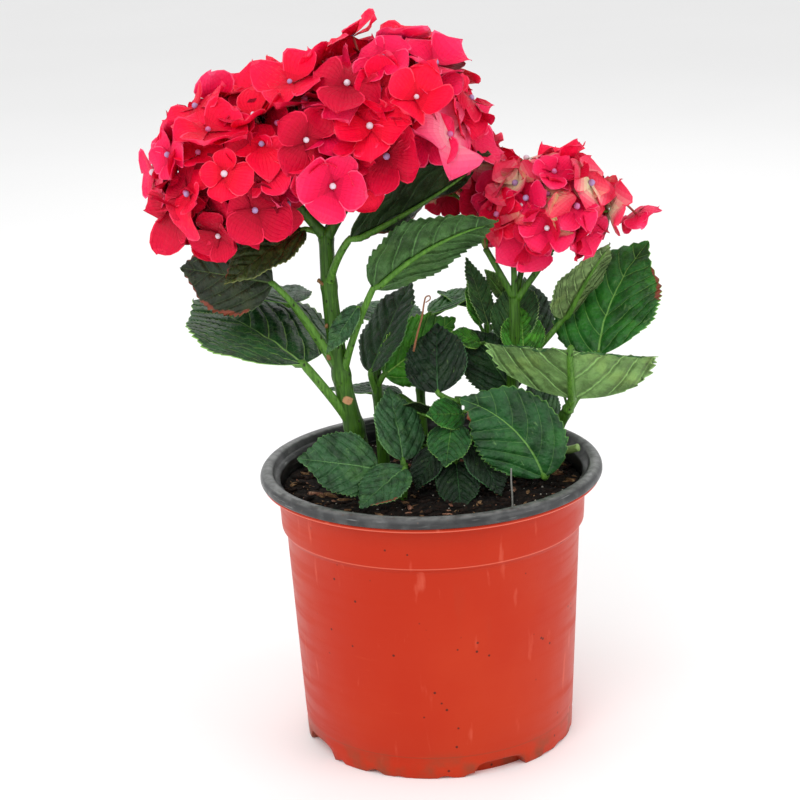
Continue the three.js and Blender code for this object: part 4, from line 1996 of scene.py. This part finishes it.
STEMS = [
    Stem(
        "main_stem",
        [
            (-43, 4, 160),
            (-46, 2, 195),
            (-53, 0, 230),
            (-57, -1, 262),
            (-60, 0, 300),
            (-60.5, 0, 336),
        ],
        (9.5, 6.9, 4.6),
        joints=(208, 243, 302, 333),
        scars=((227, 280),),
    ),
    Stem(
        "right_stem",
        [(48, 22, 160), (52, 18, 200), (56, 13, 250), (57, 11, 290)],
        (6, 4.6, 3.4),
        joints=(235, 287),
    ),
    Stem(
        "right_shoot",
        [(74, 26, 160), (77, 22, 178), (84, 12, 200), (90, 6, 214)],
        (6, 4.6, 3.2),
        joints=(176, 209),
    ),
    Stem(
        "second_stem",
        [(-30, 30, 160), (-32, 28, 200), (-33, 27, 235), (-31, 27, 246)],
        (5, 4.2, 3),
        "middle_mass",
        joints=(221,),
    ),
    Stem(
        "front_shoot",
        [(-20, -22, 160), (-18, -24, 176), (-17, -26, 190)],
        (4.5, 3.6, 2.6),
        "front_left_mass",
        joints=(178,),
    ),
    Stem(
        "middle_shoot",
        [(14, -6, 160), (16, -6, 190), (18, -4, 214), (19, -2, 226)],
        (4.5, 3.6, 2.4),
        "low_centre_mass",
        joints=(200,),
    ),
    Stem(
        "centre_shoot",
        [(40, 44, 160), (40, 44, 200), (40, 45, 235), (40, 45, 260)],
        (4.5, 3.6, 2.4),
        "centre_right_mass",
        joints=(241,),
    ),
    Stem(
        "back_left_shoot",
        [(-4, 62, 160), (-5, 64, 200), (-6, 66, 235), (-7, 67, 254)],
        (4.5, 3.6, 2.4),
        "back_left_mass",
        joints=(212, 236),
    ),
    Stem(
        "back_right_shoot",
        [(52, 66, 160), (54, 68, 200), (55, 70, 235), (56, 71, 250)],
        (4.5, 3.6, 2.4),
        "back_right_mass",
        joints=(212, 232),
    ),
]

RAYS = [
    Ray("left_bough", (-61.5, -0.5, 334), 195, 52, 51, (3.4, 2.8)),
    Ray("middle_bough", (-59.5, -1.5, 334), 352, 56, 47, (3.4, 2.8)),
    Ray("back_bough", (-59.5, 1, 334), 46, 58, 48, (3.2, 2.6)),
    Ray("right_ray_1", (56, 10.5, 287), 200, 62, 38, (2.3, 1.9)),
    Ray("right_ray_2", (56.5, 9.5, 287), 265, 82, 35, (2.1, 1.8)),
    Ray("right_ray_3", (58, 12, 287), 30, 74, 36, (2.1, 1.8)),
    Ray("right_ray_4", (58.5, 10, 286), 345, 54, 38, (2.3, 1.9)),
]

FOLIAGE = [
    Foliage("left_veined_leaf", [
        Leaf(("main_stem", 208), (207, 56, 58), (136, 25, 96, 106), 3, 12, 4, sweep=10,
             tint=Tint.VEINED),
    ]),
    Foliage("left_shaded_leaf", [
        Leaf(("main_stem", 243), (209, 63, 83), (162, 7, 66, 49), -72, 12, 4, tint=Tint.INK,
             scorch=((-1, 0.15, 0.95), (1, 0.15, 0.95))),
    ]),
    Foliage("left_upper_leaf", [
        Leaf(("main_stem", 334), (193, 27, 16), (210, -18, 62, 40), -15, 15, 6, tint=Tint.OLIVE,
             scorch=((1, 0.8, 0.99),)),
    ]),
    Foliage("right_upper_leaf", [
        Leaf(("main_stem", 302), (287, 49, 51), (18, 18, 106, 66), -41, -12, 10, tint=Tint.INK,
             wave=0.03, clear_front=48,
             scorch=((-1, 0.1, 0.8),)),
    ]),
    Foliage("right_arching_leaf", [
        Leaf(("main_stem", 241), (306, 65, 72), (7, 45, 94, 58), -55, 40, 4, tint=Tint.FOREST),
    ]),
    Foliage("right_facing_leaf", [
        Leaf(("right_shoot", 208), (346, 57, 47), (84, 47, 84, 73), -22, -6, 6, sweep=-45,
             tint=Tint.FRESH,
             scorch=((1, 0.5, 0.85),)),
    ]),
    Foliage("right_rear_leaf", [
        Leaf(("right_stem", 235), (19, 39, 49), (337, 66, 62, 49), -18, 15, 4, tint=Tint.SAGE),
    ]),
    Foliage("right_folded_leaf", [
        Leaf(("right_shoot", 212), (299, 52, 12), (264, 57, 116, 106), -7, 0, 0, crease=(2, -150),
             tint=Tint.PALE, wave=0.006),
    ]),
    Foliage("front_right_leaf", [
        Leaf(("right_shoot", 176), (266, -8, 58), (154, 77, 77, 54), -52, 8, 3, sweep=54,
             tint=Tint.DEEP, seed=3,
             scorch=((-1, 0.8, 0.93),)),
    ]),
    Foliage("front_left_mass", [
        Leaf(("front_shoot", 180), (189, 27, 18), (209, 20, 56, 42), -59, 12, 3,
             tint=Tint.BLUISH, crinkle=0.03, seed=4),
        Leaf(("front_shoot", 186), (105, 79, 6), (101, 59, 50, 37), 26, 10, 6, tint=Tint.BLUISH,
             crinkle=0.03, seed=5),
        Leaf(("front_shoot", 176), (299, 64, 19), (224, -17, 42, 30), -19, 12, 4,
             tint=Tint.BLUISH, crinkle=0.03, seed=6,
             scorch=((-1, 0.5, 0.9),)),
    ]),
    Foliage("middle_mass", [
        Leaf(("second_stem", 220), (237, 57, 21), (42, 60, 68, 41), -5, 10, 6, tint=Tint.FOREST,
             seed=7),
        Leaf(("second_stem", 225), (300, 54, 13), (19, 30, 62, 43), 83, 15, 3, tint=Tint.BRIGHT,
             seed=8),
    ]),
    Foliage("low_centre_mass", [
        Leaf(("middle_shoot", 222), (182, 21, 16), (91, 61, 47, 43), -22, 10, 6, tint=Tint.NIGHT,
             crinkle=0.03, seed=9),
        Leaf(("middle_shoot", 212), (330, 32, 8), (222, 15, 31, 22), -54, 10, 3, tint=Tint.FRESH,
             seed=10),
        Leaf(("middle_shoot", 202), (250, 56, 15), (261, -25, 36, 28), -4, 10, 4, tint=Tint.DEEP,
             seed=11),
        Leaf(("middle_shoot", 184), (272, 24, 13), (273, -33, 38, 28), 8, 8, 4, tint=Tint.NIGHT,
             seed=12),
        Leaf(("middle_shoot", 196), (327, 21, 12), (310, -39, 41, 32), -5, 10, 4,
             tint=Tint.NIGHT, seed=13),
        Leaf(("middle_shoot", 190), (206, 37, 16), (226, -42, 32, 24), -3, 10, 4,
             tint=Tint.NIGHT, seed=14),
        Leaf(("middle_shoot", 214), (350, 30, 10), (352, 18, 36, 28), -34, 12, 5,
             tint=Tint.FOREST, seed=34),
        Leaf(("middle_shoot", 206), (150, 30, 10), (168, 22, 32, 26), 38, 12, 5, tint=Tint.INK,
             seed=35),
        Leaf(("middle_shoot", 192), (20, 20, 12), (8, 12, 34, 28), -40, 12, 5, tint=Tint.INK,
             seed=36),
        Leaf(("middle_shoot", 186), (120, 30, 10), (150, 10, 32, 26), 40, 12, 5, tint=Tint.INK,
             seed=37),
    ]),
    Foliage("centre_right_mass", [
        Leaf(("centre_shoot", 215), (297, 4, 44), (140, 51, 51, 44), -27, 12, 6,
             tint=Tint.FOREST, crinkle=0.03, seed=15),
        Leaf(("centre_shoot", 250), (261, 4, 22), (202, 29, 22, 16), -40, 5, 4, tint=Tint.BRIGHT,
             seed=16),
        Leaf(("centre_shoot", 252), (275, 46, 13), (135, 71, 46, 19), -3, 8, 10, tint=Tint.SAGE,
             seed=17),
        Leaf(("centre_shoot", 250), (239, 47, 15), (127, 71, 30, 15), 7, 8, 4, tint=Tint.BRIGHT,
             seed=18),
        Leaf(("centre_shoot", 255), (20, 42, 28), (154, 53, 25, 19), 69, 8, 4, tint=Tint.FRESH,
             seed=19),
        Leaf(("centre_shoot", 242), (295, 13, 40), (73, 61, 44, 34), -12, 10, 6, tint=Tint.SAGE,
             seed=20),
        Leaf(("centre_shoot", 240), (338, 6, 38), (92, 59, 47, 36), 36, 10, 6, tint=Tint.FOREST,
             seed=21),
        Leaf(("centre_shoot", 232), (298, 12, 55), (89, 67, 31, 29), 10, 10, 4, tint=Tint.BRIGHT,
             seed=22),
        Leaf(("centre_shoot", 192), (327, -3, 54), (114, 67, 38, 28), 18, 10, 4,
             tint=Tint.BLUISH, seed=23),
    ]),
    Foliage("small_twisted_leaf", [
        Leaf((-40.5, -14, 280), (267, 83, 16), (197, -52, 35, 17), -32, 0, 4, tint=Tint.BLUISH,
             seed=24),
    ]),
    Foliage("back_left_mass", [
        Leaf(("back_left_shoot", 196), (160, 40, 18), (160, 12, 52, 40), 8, 18, 4,
             tint=Tint.DEEP, seed=25),
        Leaf(("back_left_shoot", 212), (75, 42, 22), (80, 14, 66, 50), -4, 20, 4,
             tint=Tint.FOREST, seed=26),
        Leaf(("back_left_shoot", 236), (120, 46, 20), (118, 18, 62, 46), 4, 22, 5,
             tint=Tint.DEEP, seed=27),
        Leaf(("back_left_shoot", 250), (30, 50, 16), (25, 24, 50, 38), -6, 16, 5,
             tint=Tint.FRESH, seed=28),
    ]),
    Foliage("back_right_mass", [
        Leaf(("back_right_shoot", 194), (20, 36, 20), (15, 10, 50, 38), -6, 18, 4,
             tint=Tint.FOREST, seed=29),
        Leaf(("back_right_shoot", 212), (105, 42, 22), (100, 14, 62, 47), 4, 20, 4,
             tint=Tint.DEEP, seed=30),
        Leaf(("back_right_shoot", 232), (60, 46, 20), (62, 18, 60, 45), -4, 22, 5,
             tint=Tint.FOREST, seed=31),
        Leaf(("back_right_shoot", 246), (150, 50, 15), (150, 26, 46, 35), 6, 16, 5,
             tint=Tint.FRESH, seed=32),
    ]),
    Foliage("left_rear_leaf", [
        Leaf(("main_stem", 240), (160, 58, 62), (120, 10, 62, 50), 6, 22, 4, tint=Tint.DEEP,
             seed=33),
    ]),
]

HEADS = [
    FlowerHead(
        "large_flower_head",
        71,
        (15, 22),
        [
            Lobe((-22, 3, 403), (58, 62, 58), 0.68, 36, -0.62),
            Lobe((-114, -13, 380), (49, 52, 46), 0.66, 30, -0.85),
            Lobe((-70, -4, 392), (46, 60, 50), 0.68, 27, -0.45),
        ],
        [
            (0.38, Blossom.CRIMSON),
            (0.62, Blossom.SCARLET),
            (0.87, Blossom.ROSE),
            (0.97, Blossom.WINE),
            (1.0, Blossom.BLUSH),
        ],
        [(0.55, Blossom.WINE), (0.8, Blossom.CRIMSON), (0.93, Blossom.ROSE), (1.0, Blossom.SHADOW)],
        stalks=("left_bough", "middle_bough", "back_bough"),
        ruffle=1.4,
    ),
    FlowerHead(
        "small_flower_head",
        29,
        (13, 18),
        [
            Lobe((80, 10, 346), (38, 36, 32), 0.6, 24, -0.75),
            Lobe((34, 42, 353), (28, 28, 26), 0.6, 14, -0.6),
        ],
        [
            (0.14, Blossom.SALMON),
            (0.36, Blossom.CREAM),
            (0.68, Blossom.ROSE),
            (0.97, Blossom.CRIMSON),
            (1.0, Blossom.GREEN),
        ],
        [(0.28, Blossom.GREEN), (0.52, Blossom.CREAM), (0.8, Blossom.WINE), (1.0, Blossom.SALMON)],
        stray=((134, 9, 339), (0.5, 0.1, -0.86), 13),
        stalks=("right_ray_1", "right_ray_2", "right_ray_3", "right_ray_4"),
        ruffle=1.5,
        rosy_below=-0.2,
    ),
]


@dataclass(frozen=True)
class Sprig:
    """A small thing on the plant: a stub, tendril or stick along a curve, with or without buds."""

    name: str
    through: Sequence[Point]
    radii: tuple[float, float]
    skin: str
    slot: str = "stem_green"
    buds: Sequence[Point] = ()
    bud_size: float = 2.0

    def build(self) -> None:
        """Builds the sprig and its buds."""
        curve = Spline(self.through)
        steps = 24
        path = [curve.at(i / steps) for i in range(steps + 1)]
        thick, thin = self.radii
        body = tube(
            path,
            lambda share, angle: blend(thick, thin, share) * (1 + 0.05 * math.cos(3 * angle)),
            10,
        )
        draw = stream(len(self.name) * 101 + 3)
        for spot in self.buds:
            size = self.bud_size * (0.8 + 0.4 * draw())
            made = bmesh.ops.create_uvsphere(
                body, u_segments=10, v_segments=8, radius=size
            )["verts"]
            lean = Matrix.Rotation(0.8 * (draw() - 0.5), 4, "Y")
            lean = lean @ Matrix.Rotation(0.8 * (draw() - 0.5), 4, "X")
            for vert in made:
                vert.co.z *= 1.7 if vert.co.z > 0 else 1.1
            bmesh.ops.transform(body, matrix=Matrix.Translation(spot) @ lean, verts=made)
        finish = PlainSkin(f"{self.name}_skin", self.skin, 0.5, 600.0, 0.0004)
        publish(body, self.name, [finish.material()], self.slot)


SPRIGS = [
    Sprig("pruned_stub", [(78.2, 20.5, 180.6), (83, 16, 181.6), (90, 12, 183), (95.5, 9, 185.4)],
          (2.9, 2.5), "8aa860"),
    Sprig("curled_tendril",
          [(-8.4, -4, 257.6), (-6, -5, 268), (-2.2, -6, 281), (-0.6, -7, 290), (0.6, -7, 293.6),
           (2.8, -7, 294.2), (3.2, -6, 291.8), (0.4, -5.4, 289.6)], (0.7, 0.35), "8c5a3c"),
    Sprig("dry_stick", [(50, -46, 160), (50.2, -46, 172), (49.8, -45.6, 184), (50, -45, 191)],
          (0.6, 0.5), "8c8c86"),
    Sprig("left_axil_buds", [(89.5, 8, 212), (88, 11, 217), (86.5, 12, 222), (85, 12, 226)],
          (1.0, 0.6), "5f9a34",
          buds=((85, 12, 228), (82.4, 12, 224.5), (87.6, 11.5, 224), (84.4, 10, 223),
                (81.2, 12.5, 228.4)),
          bud_size=1.9),
    Sprig("right_axil_buds", [(91, 8, 212), (97, 11, 218), (104, 12, 223), (109, 12, 225)],
          (1.0, 0.6), "76b03c",
          buds=((111, 12, 226.6), (108, 11.6, 224), (113.4, 11.8, 224.6), (106, 12, 227)),
          bud_size=1.7),
    Sprig("stem_buds",
          [(-63.6, -3, 303.4), (-64.6, -3.4, 304), (-65.4, -3.8, 304.8), (-66.2, -4.2, 305.6)],
          (1.3, 0.9), "7c5a34",
          buds=((-66.4, -4.2, 305.8), (-62.8, -5.4, 276.4), (-62.2, -6.2, 255.8)), bud_size=1.3),
]


# ---------------------------------------------------------------- studio


@dataclass
class Studio:
    """A pale floor, soft lights and the camera."""

    camera_place: Point = (0.0, -1.5, 0.6861)
    yaw: float = -0.0122
    pitch: float = 0.29855
    roll: float = -0.0395
    lens: float = 110.6
    sensor: float = 36.0
    floor_reach: float = 14.0
    air: float = 0.82
    aim: Point = (0.0, 0.0, 0.22)

    LIGHTS = (
        ("key_light", (-0.55, -1.5, 1.5), 1.2, 15.0),
        ("fill_light", (1.5, -0.7, 0.8), 1.2, 8.5),
        ("left_light", (-1.6, -0.4, 0.8), 1.2, 4.5),
        ("back_light", (0.2, 1.3, 1.5), 1.4, 6.0),
    )

    def build(self) -> None:
        """Sets up the floor, the lights and the camera."""
        self.floor()
        for row in self.LIGHTS:
            self.light(*row)
        world = bpy.data.worlds.new("studio_air")
        world.use_nodes = True
        background = world.node_tree.nodes["Background"]
        background.inputs["Color"].default_value = (1.0, 1.0, 1.0, 1.0)
        background.inputs["Strength"].default_value = self.air
        bpy.context.scene.world = world
        bpy.context.scene.view_settings.view_transform = "Standard"
        self.camera()

    def floor(self) -> None:
        """Lays a wide floor."""
        body = bmesh.new()
        bmesh.ops.create_grid(body, x_segments=1, y_segments=1, size=self.floor_reach)
        mesh = bpy.data.meshes.new("studio_floor")
        body.to_mesh(mesh)
        body.free()
        g = Graph("studio_floor")
        tone = g.noise(g.place(), 3.0, 2.0)
        mesh.materials.append(
            g.finish(
                Base_Color=g.mix(tone, shade("fafafa"), shade("fefefe")),
                Roughness=0.9,
            )
        )
        floor = bpy.data.objects.new("studio_floor", mesh)
        bpy.context.scene.collection.objects.link(floor)

    def light(self, name: str, place: Point, size: float, watts: float) -> None:
        """Hangs a soft square light that looks at the plant.

        Args:
            name: The light's name.
            place: Where it hangs, in metres.
            size: The length of its sides.
            watts: Its power.
        """
        lamp = bpy.data.lights.new(name, "AREA")
        lamp.shape = "SQUARE"
        lamp.size = size
        lamp.energy = watts
        holder = bpy.data.objects.new(name, lamp)
        aim = Vector(self.aim) - Vector(place)
        holder.rotation_euler = aim.to_track_quat("-Z", "Y").to_euler()
        holder.location = place
        bpy.context.scene.collection.objects.link(holder)

    def camera(self) -> None:
        """Sets up the camera."""
        lens = bpy.data.cameras.new("camera")
        lens.lens = self.lens
        lens.sensor_width = self.sensor
        holder = bpy.data.objects.new("camera", lens)
        ahead = Vector(
            (
                math.sin(self.yaw) * math.cos(self.pitch),
                math.cos(self.yaw) * math.cos(self.pitch),
                -math.sin(self.pitch),
            )
        )
        level = Vector((math.cos(self.yaw), -math.sin(self.yaw), 0))
        over = level.cross(ahead)
        right = level * math.cos(self.roll) + over * math.sin(self.roll)
        above = over * math.cos(self.roll) - level * math.sin(self.roll)
        turn = Matrix((right, above, -ahead)).transposed()
        holder.matrix_world = Matrix.Translation(self.camera_place) @ turn.to_4x4()
        bpy.context.scene.collection.objects.link(holder)
        bpy.context.scene.camera = holder


# ---------------------------------------------------------------- main


def main() -> None:
    """Builds the whole plant in order and reports each piece."""
    logging.basicConfig(level=logging.INFO, format="%(name)s: %(message)s")
    Studio().build()
    NurseryPot().build()
    PottingBed().build()
    paints = Paints()
    stems = {stem.name: stem for stem in STEMS}
    rays = {ray.name: ray for ray in RAYS}
    for stem in STEMS:
        if not stem.mass:
            publish(stem.body(), f"{stem.name}_skin", [paints.stem], "stem_green", [stem.name])
    for ray in RAYS:
        publish(ray.body(), f"{ray.name}_skin", [paints.stem], "stem_green", [ray.name])
    for group in FOLIAGE:
        group.build(stems, paints)
    keep_clear = [
        point for group in FOLIAGE for leaf in group.leaves for point in leaf.samples(stems)
    ]
    for head in HEADS:
        head.build(rays, keep_clear, paints)
    for sprig in SPRIGS:
        sprig.build()


if __name__ == "__main__":
    main()
